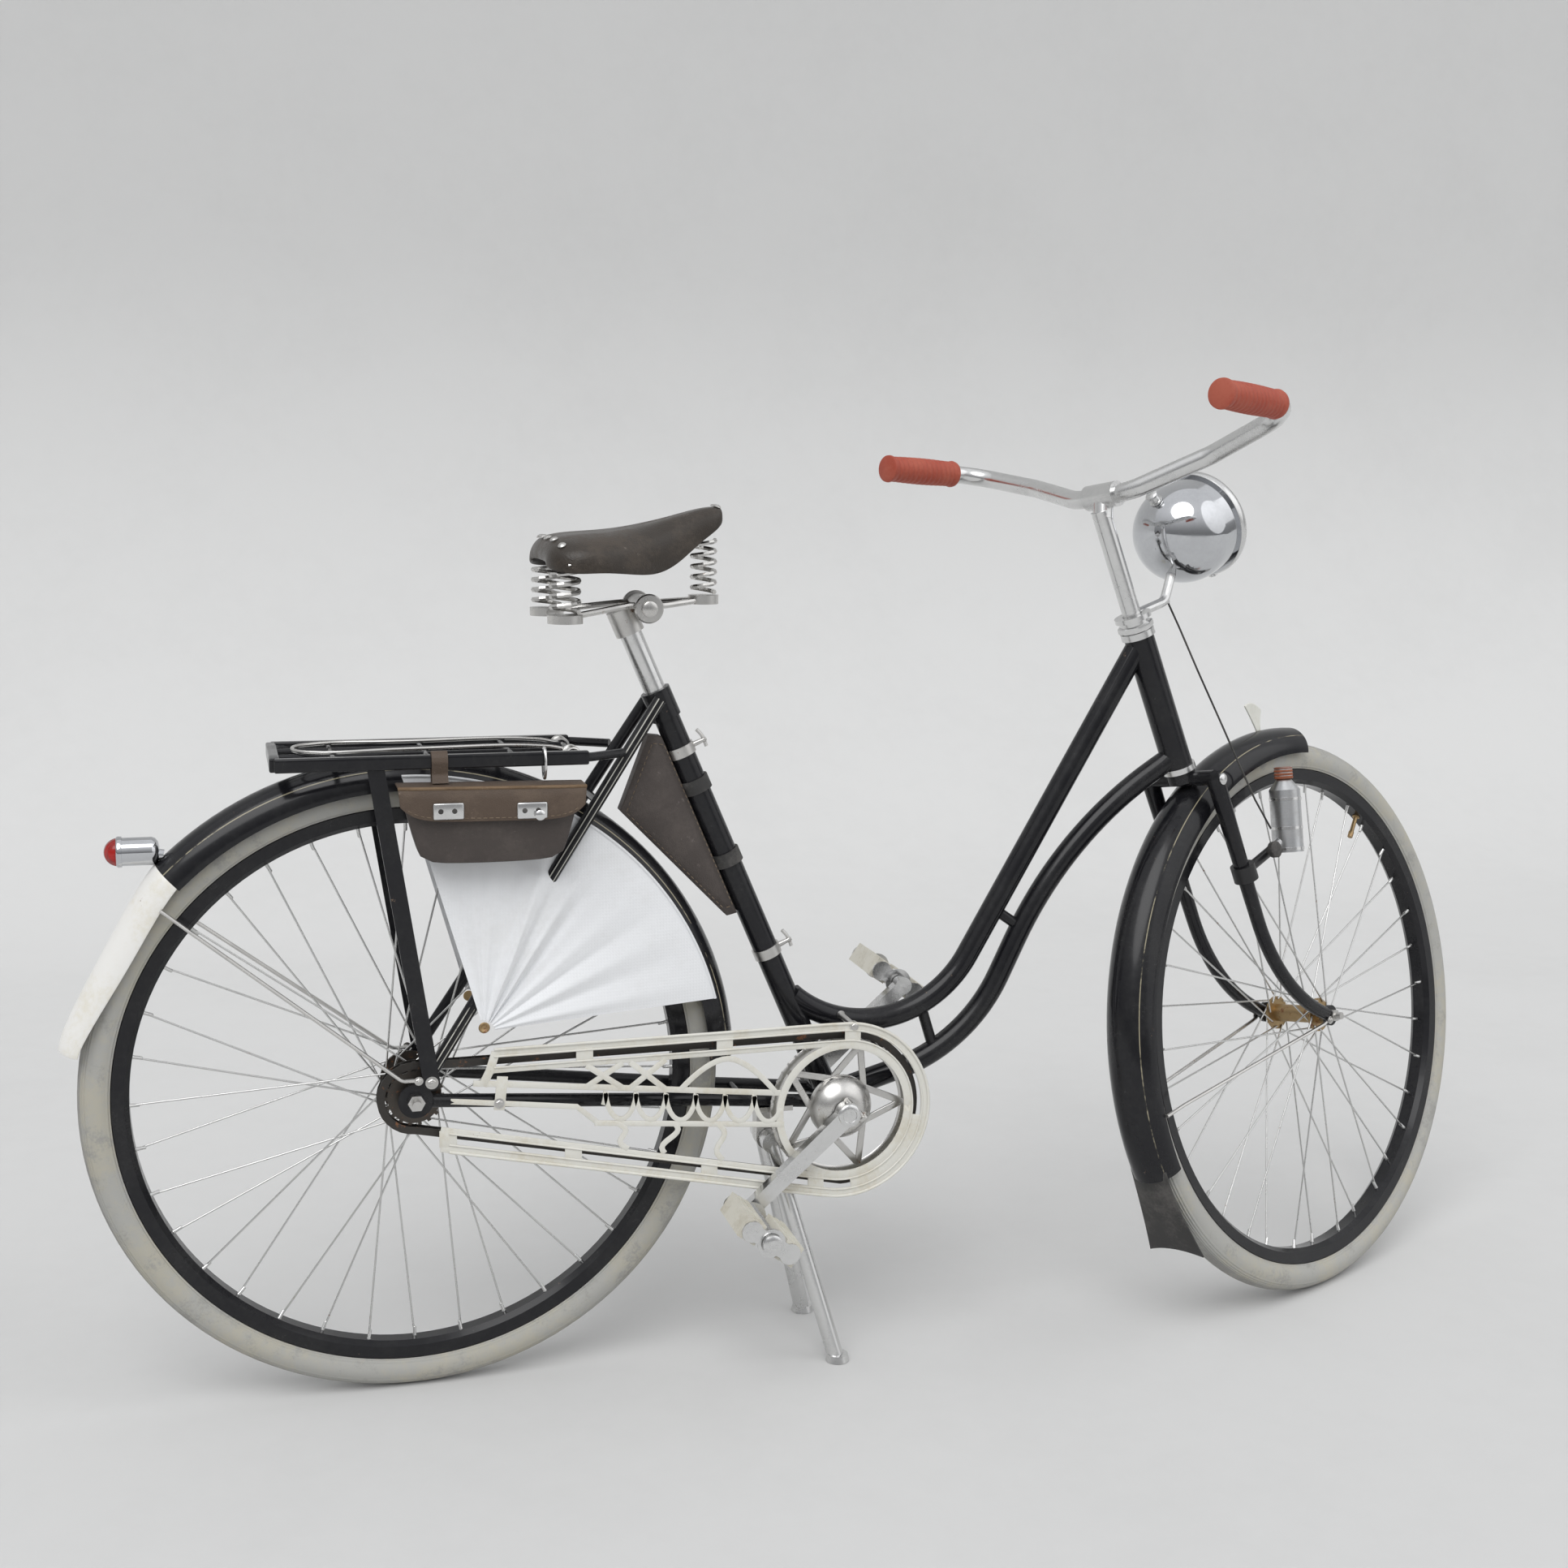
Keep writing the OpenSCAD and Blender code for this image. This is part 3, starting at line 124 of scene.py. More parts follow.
def turned(name, rings, sides):
    """A turned piece along +Z: rings are (height, radius), each extruded from the one before."""
    deselect()
    height, radius = rings[0]
    bpy.ops.mesh.primitive_circle_add(vertices=sides, radius=radius, fill_type="NGON", location=(0, 0, 0))
    obj = added(name)
    obj.location.z = height
    settle(obj)
    edit_all(obj)
    for next_height, next_radius in rings[1:]:
        bpy.ops.mesh.extrude_region_move(
            TRANSFORM_OT_translate={"value": (0, 0, next_height - height)}
        )
        grow = next_radius / radius
        bpy.ops.transform.resize(value=(grow, grow, 1), center_override=(0, 0, next_height))
        height, radius = next_height, next_radius
    bpy.ops.object.mode_set(mode="OBJECT")
    outward(obj)
    return obj


def heading(turn):
    """Unit vector in the plane of x and z, turned up from x."""
    return Vector((math.cos(turn), 0, math.sin(turn)))


def along(direction, at):
    """Matrix that takes +Z to a direction and the origin to a point."""
    turn = Vector(direction).to_track_quat("Z", "Y").to_matrix().to_4x4()
    return Matrix.Translation(at) @ turn


def joined(name, objs):
    deselect()
    for obj in objs:
        obj.select_set(True)
    bpy.context.view_layer.objects.active = objs[0]
    bpy.ops.object.join()
    return added(name)


def copies(name, pattern, matrices):
    """Copies of one modelled piece, each with its own mesh, joined under one name."""
    made = []
    for matrix in matrices:
        copy = pattern.copy()
        copy.data = pattern.data.copy()
        copy.data.transform(matrix)
        bpy.context.collection.objects.link(copy)
        made.append(copy)
    row = joined(name, made)
    bpy.data.objects.remove(pattern, do_unlink=True)
    return row


def both_sides(x, y, z, base=Matrix()):
    """Places on the right and the left of the middle plane, facing outwards."""
    return [base @ along((0, side, 0), (x, side * y, z)) for side in (-1, 1)]


def pressed(obj, thickness, edge):
    """Gives a sheet its thickness and eases its edges."""
    outward(obj)
    modify(obj, "SOLIDIFY", thickness=thickness, offset=0.0)
    round_edges(obj, edge, 2, 60)


def round_edges(obj, width, segments, angle):
    limit = math.radians(angle)
    modify(obj, "BEVEL", width=width, segments=segments, limit_method="ANGLE", angle_limit=limit)


def fitting(name, rings, sides, matrix, finish, body="frame", smooth_angle=40):
    """A turned piece, put in its place with its finish."""
    obj = turned(name, rings, sides)
    place(obj, matrix)
    finish_piece(obj, finish, body, smooth_angle)


def grid_sheet(name, cuts_u, cuts_v, point):
    """A sheet: a grid whose vertices are moved to point(u, v), with u and v from 0 to 1."""
    deselect()
    bpy.ops.mesh.primitive_grid_add(x_subdivisions=cuts_u, y_subdivisions=cuts_v, size=2, location=(0, 0, 0))
    obj = added(name)
    for vertex in obj.data.vertices:
        vertex.co = point((vertex.co.x + 1) / 2, (vertex.co.y + 1) / 2)
    return obj


def block(name, corners, cuts, bulge):
    """A soft block: a subdivided cube whose points are moved to bulge(corner, u, v, w)."""
    deselect()
    bpy.ops.mesh.primitive_cube_add(size=2, location=(0, 0, 0))
    obj = added(name)
    edit_all(obj)
    bpy.ops.mesh.subdivide(number_cuts=cuts)
    bpy.ops.object.mode_set(mode="OBJECT")
    for vertex in obj.data.vertices:
        u, v, w = ((c + 1) / 2 for c in vertex.co)
        vertex.co = bulge(corners(u, w), u, v, w)
    return obj


def curve_mesh(name, radius, rounding, kind, lay):
    """A round bar along one spline, as a mesh; lay(spline) puts the points on it."""
    curve = bpy.data.curves.new(name, "CURVE")
    curve.dimensions = "3D"
    curve.bevel_depth = radius
    curve.bevel_resolution = rounding
    curve.use_fill_caps = True
    lay(curve.splines.new(kind))
    obj = bpy.data.objects.new(name, curve)
    bpy.context.collection.objects.link(obj)
    only(obj)
    bpy.ops.object.convert(target="MESH")
    return added(name)


def wire(name, points, radius, sides=8, closed=False):
    """A bent wire that runs smoothly through points."""

    def lay(spline):
        spline.bezier_points.add(len(points) - 1)
        for bezier, co in zip(spline.bezier_points, points):
            bezier.co = co
            bezier.handle_left_type = bezier.handle_right_type = "AUTO"
        spline.use_cyclic_u = closed
        spline.resolution_u = 6

    return curve_mesh(name, radius, max(1, sides // 4), "BEZIER", lay)


def rounded_route(points, bends, steps=10):
    """A route with its inner corners rounded, each to its own bend radius."""
    route = [points[0]]
    for before, corner, after, bend in zip(points, points[1:], points[2:], bends):
        d1 = (before - corner).normalized()
        d2 = (after - corner).normalized()
        half_turn = (math.pi - d1.angle(d2)) / 2
        reach = bend * math.tan(half_turn)
        centre = corner + (d1 + d2).normalized() * (bend / math.cos(half_turn))
        start = (corner + d1 * reach - centre).normalized()
        end = (corner + d2 * reach - centre).normalized()
        for k in range(steps + 1):
            route.append(centre + bend * start.slerp(end, k / steps))
    route.append(points[-1])
    return route


def tube(name, route, radius):
    """A round tube along a route."""

    def lay(spline):
        spline.points.add(len(route) - 1)
        for point, co in zip(spline.points, route):
            point.co = (*co, 1)

    return curve_mesh(name, radius, 7, "POLY", lay)


def flat_strip(name, path, width, thickness):
    """A flat pressed strip along a path of points in a plane of constant y."""
    count = len(path)

    def point(u, v):
        k = round(v * (count - 1))
        ahead = path[min(k + 1, count - 1)] - path[max(k - 1, 0)]
        normal = Vector((-ahead.z, 0, ahead.x)).normalized()
        return path[k] + normal * (width * (u - 0.5))

    obj = grid_sheet(name, 2, count - 1, point)
    pressed(obj, thickness, 0.0005)
    return obj


# Shader groups shared by the finishes


def new_group(name, inputs, outputs):
    group = bpy.data.node_groups.new(name, "ShaderNodeTree")
    for kind, label, default in inputs:
        socket = group.interface.new_socket(label, in_out="INPUT", socket_type=kind)
        if default is not None:
            socket.default_value = default
    for kind, label in outputs:
        group.interface.new_socket(label, in_out="OUTPUT", socket_type=kind)
    return group, group.nodes.new("NodeGroupInput"), group.nodes.new("NodeGroupOutput")


def feed(tree, value, socket):
    """Sets a socket to a number, or links another socket to it."""
    if isinstance(value, (int, float)):
        socket.default_value = value
    else:
        tree.links.new(value, socket)


def maths(tree, operation, a, b=None):
    node = tree.nodes.new("ShaderNodeMath")
    node.operation = operation
    for socket, value in zip(node.inputs, (a, b)):
        if value is not None:
            feed(tree, value, socket)
    return node.outputs[0]


def ramp(tree, value, low, high):
    """0 below low, 1 above high, smooth between."""
    node = tree.nodes.new("ShaderNodeMapRange")
    node.interpolation_type = "SMOOTHSTEP"
    for label, given in (("Value", value), ("From Min", low), ("From Max", high)):
        feed(tree, given, node.inputs[label])
    return node.outputs["Result"]


def noise(tree, vector, scale, detail, rough=0.55):
    node = tree.nodes.new("ShaderNodeTexNoise")
    for label, given in (("Vector", vector), ("Scale", scale), ("Detail", detail), ("Roughness", rough)):
        feed(tree, given, node.inputs[label])
    return node.outputs["Fac"]


def make_speckle():
    """Patches of wear: broad noise broken up by fine noise."""
    group, given, out = new_group(
        "speckle",
        [
            ("NodeSocketVector", "Vector", None),
            ("NodeSocketFloat", "Scale", 20.0),
            ("NodeSocketFloat", "Low", 0.55),
            ("NodeSocketFloat", "High", 0.7),
        ],
        [("NodeSocketFloat", "Mask"), ("NodeSocketFloat", "Fine")],
    )
    broad = noise(group, given.outputs["Vector"], given.outputs["Scale"], 3.0)
    fine_scale = maths(group, "MULTIPLY", given.outputs["Scale"], 9.0)
    fine = noise(group, given.outputs["Vector"], fine_scale, 5.0, 0.7)
    both = maths(group, "ADD", maths(group, "MULTIPLY", broad, 0.62), maths(group, "MULTIPLY", fine, 0.38))
    mask = ramp(group, both, given.outputs["Low"], given.outputs["High"])
    group.links.new(mask, out.inputs["Mask"])
    group.links.new(fine, out.inputs["Fine"])
    return group


def make_hide():
    """Leather grain: pebbles between fine creases."""
    group, given, out = new_group(
        "hide",
        [("NodeSocketVector", "Vector", None), ("NodeSocketFloat", "Scale", 400.0)],
        [("NodeSocketFloat", "Height")],
    )
    cells = group.nodes.new("ShaderNodeTexVoronoi")
    cells.feature = "DISTANCE_TO_EDGE"
    group.links.new(given.outputs["Vector"], cells.inputs["Vector"])
    group.links.new(given.outputs["Scale"], cells.inputs["Scale"])
    pebble = ramp(group, cells.outputs["Distance"], 0.0, 0.25)
    broad_scale = maths(group, "MULTIPLY", given.outputs["Scale"], 0.15)
    broad = noise(group, given.outputs["Vector"], broad_scale, 4.0)
    group.links.new(maths(group, "ADD", maths(group, "MULTIPLY", pebble, 0.5), broad), out.inputs["Height"])
    return group


def make_weave():
    """Plain weave: two sets of threads crossing, from the sheet's own UV map."""
    group, given, out = new_group(
        "weave",
        [("NodeSocketVector", "Vector", None), ("NodeSocketFloat", "Scale", 200.0)],
        [("NodeSocketFloat", "Height")],
    )
    split = group.nodes.new("ShaderNodeSeparateXYZ")
    group.links.new(given.outputs["Vector"], split.inputs[0])
    threads = []
    for axis in ("X", "Y"):
        turns = maths(group, "MULTIPLY", split.outputs[axis], given.outputs["Scale"])
        threads.append(maths(group, "ABSOLUTE", maths(group, "SINE", turns)))
    group.links.new(maths(group, "MAXIMUM", *threads), out.inputs["Height"])
    return group


def make_line():
    """A painted line: 1 where a value lies between two limits."""
    group, given, out = new_group(
        "line",
        [
            ("NodeSocketFloat", "Value", 0.0),
            ("NodeSocketFloat", "From", 0.0),
            ("NodeSocketFloat", "To", 1.0),
        ],
        [("NodeSocketFloat", "Mask")],
    )
    above = maths(group, "GREATER_THAN", given.outputs["Value"], given.outputs["From"])
    below = maths(group, "LESS_THAN", given.outputs["Value"], given.outputs["To"])
    group.links.new(maths(group, "MULTIPLY", above, below), out.inputs["Mask"])
    return group


SPECKLE = make_speckle()
HIDE = make_hide()
WEAVE = make_weave()
LINE = make_line()


class Finish:
    """A material under construction: its tree, its shader and the last colour that feeds it."""

    def __init__(self, name, colour, roughness, metallic=0.0):
        self.material = bpy.data.materials.new(name)
        self.material.use_nodes = True
        self.material.diffuse_color = (*colour, 1)
        self.tree = self.material.node_tree
        self.shader = self.tree.nodes["Principled BSDF"]
        self.give(Base_Color=(*colour, 1), Roughness=roughness, Metallic=metallic)
        self.colour = (*colour, 1)
        self.roughness = roughness
        self.coords = self.tree.nodes.new("ShaderNodeTexCoord").outputs["Object"]

    def use(self, group, **values):
        node = self.tree.nodes.new("ShaderNodeGroup")
        node.node_tree = group
        for label, value in values.items():
            feed(self.tree, value, node.inputs[label])
        return node

    def give(self, **values):
        """Sets the shader's own values, with _ for the spaces in their labels."""
        for label, value in values.items():
            self.shader.inputs[label.replace("_", " ")].default_value = value

    def speckle(self, scale, low, high):
        return self.use(SPECKLE, Vector=self.coords, Scale=scale, Low=low, High=high)

    def patches(self, scale, low, high, colour, roughness=None):
        """Worn patches with their own colour and roughness."""
        worn = self.speckle(scale, low, high)
        self.tint(worn.outputs["Mask"], colour)
        if roughness is not None:
            self.vary("Roughness", worn.outputs["Mask"], self.roughness, roughness)
        return worn

    def tint(self, mask, colour):
        """Mixes a colour in where the mask is 1."""
        mix = self.tree.nodes.new("ShaderNodeMix")
        mix.data_type = "RGBA"
        self.tree.links.new(mask, mix.inputs[0])
        if isinstance(self.colour, tuple):
            mix.inputs[6].default_value = self.colour
        else:
            self.tree.links.new(self.colour, mix.inputs[6])
        mix.inputs[7].default_value = (*colour, 1)
        self.colour = mix.outputs[2]
        self.tree.links.new(self.colour, self.shader.inputs["Base Color"])

    def vary(self, label, mask, low, high):
        """A shader value goes from low to high where the mask is 1."""
        node = self.tree.nodes.new("ShaderNodeMapRange")
        self.tree.links.new(mask, node.inputs["Value"])
        node.inputs["To Min"].default_value = low
        node.inputs["To Max"].default_value = high
        self.tree.links.new(node.outputs["Result"], self.shader.inputs[label])

    def bump(self, height, distance, strength):
        node = self.tree.nodes.new("ShaderNodeBump")
        node.inputs["Strength"].default_value = strength
        node.inputs["Distance"].default_value = distance
        self.tree.links.new(height, node.inputs["Height"])
        self.tree.links.new(node.outputs["Normal"], self.shader.inputs["Normal"])

    def part(self, axis):
        node = self.tree.nodes.new("ShaderNodeSeparateXYZ")
        self.tree.links.new(self.coords, node.inputs[0])
        return node.outputs[axis]

    def across(self, origin, direction):
        """Distance from a plane through origin, along a direction, either side counted positive."""
        shift = self.tree.nodes.new("ShaderNodeVectorMath")
        shift.operation = "SUBTRACT"
        self.tree.links.new(self.coords, shift.inputs[0])
        shift.inputs[1].default_value = origin
        dot = self.tree.nodes.new("ShaderNodeVectorMath")
        dot.operation = "DOT_PRODUCT"
        self.tree.links.new(shift.outputs[0], dot.inputs[0])
        dot.inputs[1].default_value = direction
        return maths(self.tree, "ABSOLUTE", dot.outputs["Value"])

    def stripe(self, value, low, high, colour):
        """A hand-painted line, worn through in places."""
        line = self.use(LINE, Value=value, From=low, To=high).outputs["Mask"]
        worn = self.speckle(9.0, 0.4, 0.5).outputs["Mask"]
        self.tint(maths(self.tree, "MULTIPLY", line, worn), colour)


# Finishes

GOLD_LINE = (0.3, 0.27, 0.19)
RUST = (0.2, 0.085, 0.035)


def black_enamel(name="black_enamel"):
    f = Finish(name, (0.009, 0.009, 0.011), 0.17)
    f.give(Specular_IOR_Level=0.28, Coat_Weight=0.12, Coat_Roughness=0.06)
    haze = f.patches(14.0, 0.42, 0.68, (0.018, 0.018, 0.019), 0.3)
    f.patches(70.0, 0.675, 0.69, (0.16, 0.11, 0.075))
    f.bump(haze.outputs["Fine"], 0.0002, 0.12)
    return f


def lined_enamel(name, middle, axle):
    """Mudguards: a thin line along each edge, either side of the wheel's middle plane."""
    f = black_enamel(name)
    f.stripe(f.across(middle, axle), 0.0236, 0.0244, GOLD_LINE)
    return f.material


def stay_enamel():
    """Seat stays: the lines keep to the outer side of each stay as it leans outwards."""
    f = black_enamel("stay_enamel")
    spread = maths(f.tree, "MULTIPLY", maths(f.tree, "SUBTRACT", 0.7781, f.part("Z")), 0.032 / 0.4161)
    middle = maths(f.tree, "ADD", spread, 0.027)
    out = maths(f.tree, "SUBTRACT", f.across((0, 0, 0), (0, 1, 0)), middle)
    f.stripe(out, 0.0061, 0.0066, (0.5, 0.49, 0.44))
    return f.material


def plated(name, colour, roughness, rust):
    f = Finish(name, colour, roughness, 1.0)
    dull = f.patches(26.0, 0.4, 0.65, tuple(c * 0.92 for c in colour), roughness + 0.1)
    pits = f.patches(110.0, rust, rust + 0.04, RUST)
    f.vary("Metallic", pits.outputs["Mask"], 1.0, 0.1)
    f.bump(dull.outputs["Fine"], 0.00004, 0.025)
    return f.material


def painted(name, colour, stain, rust):
    f = Finish(name, colour, 0.32)
    f.give(Coat_Weight=0.15)
    stains = f.patches(16.0, 0.45, 0.68, stain, 0.5)
    f.patches(60.0, rust, rust + 0.025, (0.23, 0.13, 0.07))
    f.bump(stains.outputs["Fine"], 0.0002, 0.15)
    return f.material


def hide(name, colour, worn, roughness, grain=420.0, bump=0.0006):
    f = Finish(name, colour, roughness)
    f.give(Specular_IOR_Level=0.4)
    f.patches(24.0, 0.44, 0.64, worn, min(1.0, roughness + 0.18))
    f.patches(90.0, 0.62, 0.68, tuple(min(1.0, c * 1.6 + 0.03) for c in worn))
    f.bump(f.use(HIDE, Vector=f.coords, Scale=grain).outputs["Height"], bump, 0.45)
    return f.material


def cloth():
    f = Finish("white_cloth", (0.8, 0.81, 0.825), 0.85)
    f.give(Sheen_Weight=0.25, Sheen_Roughness=0.5)
    f.patches(11.0, 0.46, 0.72, (0.745, 0.75, 0.755))
    uv = f.tree.nodes.new("ShaderNodeUVMap").outputs["UV"]
    f.bump(f.use(WEAVE, Vector=uv, Scale=900.0).outputs["Height"], 0.0004, 0.35)
    return f.material


def tyre_rubber(name, centre, axle):
    """Aged pale rubber: yellowed patches, dark road grime at the crown, a fine ribbed tread."""
    f = Finish(name, (0.39, 0.387, 0.365), 0.78)
    old = f.patches(13.0, 0.42, 0.62, (0.43, 0.41, 0.345))
    f.patches(34.0, 0.52, 0.66, (0.32, 0.315, 0.295))
    side = f.across(centre, axle)
    crown = maths(f.tree, "SUBTRACT", 1.0, ramp(f.tree, side, 0.009, 0.0125))
    dirty = maths(f.tree, "MULTIPLY", crown, f.speckle(22.0, 0.3, 0.55).outputs["Mask"])
    f.tint(dirty, (0.3, 0.295, 0.28))
    ribs = maths(f.tree, "ABSOLUTE", maths(f.tree, "SINE", maths(f.tree, "MULTIPLY", side, 1400.0)))
    rows = maths(f.tree, "MULTIPLY", ribs, ramp(f.tree, side, 0.0185, 0.016))
    f.bump(maths(f.tree, "ADD", rows, maths(f.tree, "MULTIPLY", old.outputs["Fine"], 0.4)), 0.0012, 0.6)
    return f.material


def moulded(name, colour, dirt, roughness):
    f = Finish(name, colour, roughness)
    dust = f.patches(30.0, 0.42, 0.66, dirt, min(1.0, roughness + 0.2))
    f.bump(dust.outputs["Fine"], 0.0003, 0.3)
    return f.material


def glass(name, colour, roughness):
    f = Finish(name, colour, roughness)
    f.give(Transmission_Weight=0.85, IOR=1.48)
    f.patches(40.0, 0.48, 0.7, tuple(c * 0.8 for c in colour))
    flutes = maths(f.tree, "SINE", maths(f.tree, "MULTIPLY", f.part("Y"), 900.0))
    f.bump(flutes, 0.0005, 0.35)
    return f.material


def dynamo_finish(axis_origin, ahead, split_at):
    """Bright bottle; its arm and clip, nearer the fork, painted black."""
    f = Finish("dull_alloy", (0.6, 0.61, 0.62), 0.3, 1.0)
    f.patches(40.0, 0.4, 0.65, (0.5, 0.5, 0.5), 0.42)
    reach = f.across(axis_origin, ahead)
    arm = f.use(LINE, Value=reach, From=-1.0, To=split_at).outputs["Mask"]
    f.tint(arm, (0.012, 0.012, 0.013))
    f.vary("Metallic", arm, 1.0, 0.0)
    return f.material


FRONT_LEFT = tuple(STEER.to_3x3() @ Vector((0, 1, 0)))
FRONT_CENTRE = tuple(FRONT_AXLE.translation)

M = {
    "enamel": black_enamel().material,
    "rear_guard": lined_enamel("rear_guard_enamel", (0, 0, 0), (0, 1, 0)),
    "front_guard": lined_enamel("front_guard_enamel", FRONT_CENTRE, FRONT_LEFT),
    "stays": stay_enamel(),
    "mirror": plated("polished_steel", (0.6, 0.61, 0.63), 0.05, 0.69),
    "chrome": plated("bright_steel", (0.72, 0.72, 0.715), 0.2, 0.74),
    "grease": plated("greasy_steel", (0.1, 0.09, 0.08), 0.42, 0.58),
    "old_chrome": plated("pitted_steel", (0.62, 0.61, 0.59), 0.26, 0.635),
    "spoke": plated("spoke_steel", (0.66, 0.66, 0.65), 0.24, 0.64),
    "alloy": dynamo_finish(tuple(STEER_ORIGIN), tuple(STEER.to_3x3() @ Vector((1, 0, 0))), 0.07),
    "brass": plated("old_brass", (0.42, 0.3, 0.16), 0.38, 0.56),
    "chain": plated("chain_steel", (0.08, 0.075, 0.07), 0.45, 0.6),
    "cream": painted("cream_paint", (0.7, 0.69, 0.635), (0.62, 0.585, 0.49), 0.665),
    "white": painted("white_paint", (0.82, 0.81, 0.78), (0.74, 0.71, 0.62), 0.67),
    "bag": hide("brown_leather", (0.062, 0.051, 0.046), (0.085, 0.071, 0.064), 0.48),
    "flap": hide("flap_leather", (0.085, 0.059, 0.042), (0.115, 0.083, 0.06), 0.5),
    "piping": hide("tan_edge", (0.19, 0.125, 0.07), (0.14, 0.09, 0.05), 0.55),
    "saddle": hide("dark_leather", (0.034, 0.027, 0.021), (0.062, 0.049, 0.038), 0.32, 330.0, 0.0004),
    "grip": moulded("red_rubber", (0.36, 0.058, 0.03), (0.42, 0.1, 0.06), 0.48),
    "thread": moulded("waxed_thread", (0.2, 0.15, 0.1), (0.12, 0.09, 0.06), 0.7),
    "cloth": cloth(),
    "rear_tyre": tyre_rubber("rear_tyre_rubber", tuple(REAR_AXLE), (0, 1, 0)),
    "front_tyre": tyre_rubber("front_tyre_rubber", FRONT_CENTRE, FRONT_LEFT),
    "cream_rubber": moulded("cream_rubber", (0.62, 0.6, 0.53), (0.5, 0.47, 0.39), 0.65),
    "dark_rubber": moulded("dark_rubber", (0.03, 0.029, 0.028), (0.09, 0.085, 0.08), 0.6),
    "rust_rubber": moulded("roller_rubber", (0.3, 0.09, 0.04), (0.16, 0.07, 0.04), 0.7),
    "plastic": moulded("pale_plastic", (0.74, 0.74, 0.68), (0.6, 0.58, 0.5), 0.3),
    "red": glass("red_glass", (0.55, 0.02, 0.015), 0.12),
    "clear": glass("clear_glass", (0.85, 0.88, 0.88), 0.06),
}

# CAD nodes under each finish
NODE_FINISH = {
    "stays": ["seat_stays"],
    "rear_guard": ["rear_mudguard"],
    "front_guard": ["front_mudguard"],
    "enamel": [
        "upper_tube", "lower_tube", "head_tube", "seat_tube", "frame_struts", "bottom_bracket_shell",
        "chain_stays", "rear_rack", "rack_struts", "rear_rim", "front_rim", "fork",
    ],
    "chrome": [
        "headset_cups", "seat_post", "centre_stand", "crank_right", "crank_left", "stem",
        "handlebar", "headlamp_bracket", "pedal_right", "pedal_left",
    ],
    "mirror": ["headlamp", "tail_lamp"],
    "grease": ["rear_hub"],
    "old_chrome": [
        "rear_axle", "rear_mudguard_stays", "saddle_frame", "saddle_springs", "stand_bracket",
        "crank_axle", "chainring", "front_mudguard_stays", "front_axle",
    ],
    "spoke": ["rear_spokes", "front_spokes"],
    "alloy": ["dynamo"],
    "brass": ["front_hub"],
    "cream": ["chain_guard"],
    "white": ["mudguard_tail"],
    "chain": ["chain"],
    "bag": ["tool_bag", "frame_bag"],
    "grip": ["grips"],
    "saddle": ["saddle_leather"],
    "cloth": ["skirt_guard_right", "skirt_guard_left"],
    "rear_tyre": ["rear_tyre"],
    "front_tyre": ["front_tyre"],
    "cream_rubber": ["pedal_right_rubbers", "pedal_left_rubbers"],
    "dark_rubber": ["mud_flap", "lamp_wire"],
    "plastic": ["mudguard_fin"],
    "red": ["tail_lamp_lens"],
    "clear": ["headlamp_lens"],
}
for finish_name, node_names in NODE_FINISH.items():
    for node_name in node_names:
        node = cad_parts[node_name]
        node.data.materials.clear()
        node.data.materials.append(M[finish_name])


# Bent tubes, drawn smooth: upper tube, lower tube and handlebar


def on_steering_axis(height):
    return STEER @ Vector((0, 0, height))


TUBE_R = 0.0135
UPPER_BEND_R = 0.142
UPPER_BEND_CENTRE = Vector((0.536, 0, 0.531))
UPPER_SLOPE = math.radians(60.5)
UPPER_END_TURN = math.radians(-132)


def upper_route():
    """Straight down from the head tube, then one wide bend to the seat tube."""
    route = [on_steering_axis(0.550)]
    start = UPPER_SLOPE - math.pi / 2
    for k in range(37):
        turn = start + (UPPER_END_TURN - start) * k / 36
        route.append(UPPER_BEND_CENTRE + UPPER_BEND_R * heading(turn))
    return route


def lower_route():
    """From the crank, up steeply, then easing towards the foot of the head tube."""
    first, middle, last = (math.radians(a) for a in (16, 65, 33))
    end = on_steering_axis(0.402)
    low = CRANK + 0.181 * heading(first)
    gap = end - low
    across = math.sin(middle - last)
    climb = (gap.z * math.cos(last) - gap.x * math.sin(last)) / across
    high = low + climb * heading(middle)
    return rounded_route([CRANK.copy(), low, high, end], [0.200, 0.480], 18)


BAR_R = 0.011
# Left half of the bar's middle line in the steering frame, in mm
BAR_POINTS = [(-58, 247, 827), (75, 239, 773), (59, 130, 743), (13, 40, 729)]


def bar_route():
    left = [Vector(q) / 1000 for q in BAR_POINTS]
    right = [Vector((q.x, -q.y, q.z)) for q in reversed(left)]
    bends = [0.042, 0.060, 0.060, 0.060, 0.060, 0.042]
    return [STEER @ q for q in rounded_route(left + right, bends)]


HEAD_BORE_R = 0.0155
CRANK_BORE_R = 0.015


def bearing_bores():
    """The bores of the head tube and the crank shell, where a tube's end stops."""
    head = turned("head_bore", [(0.33, HEAD_BORE_R), (0.62, HEAD_BORE_R)], 48)
    place(head, STEER)
    crank = turned("crank_bore", [(-0.05, CRANK_BORE_R), (0.05, CRANK_BORE_R)], 48)
    place(crank, along((0, 1, 0), CRANK))
    bores = joined("bearing_bores", [head, crank])
    outward(bores)
    return bores


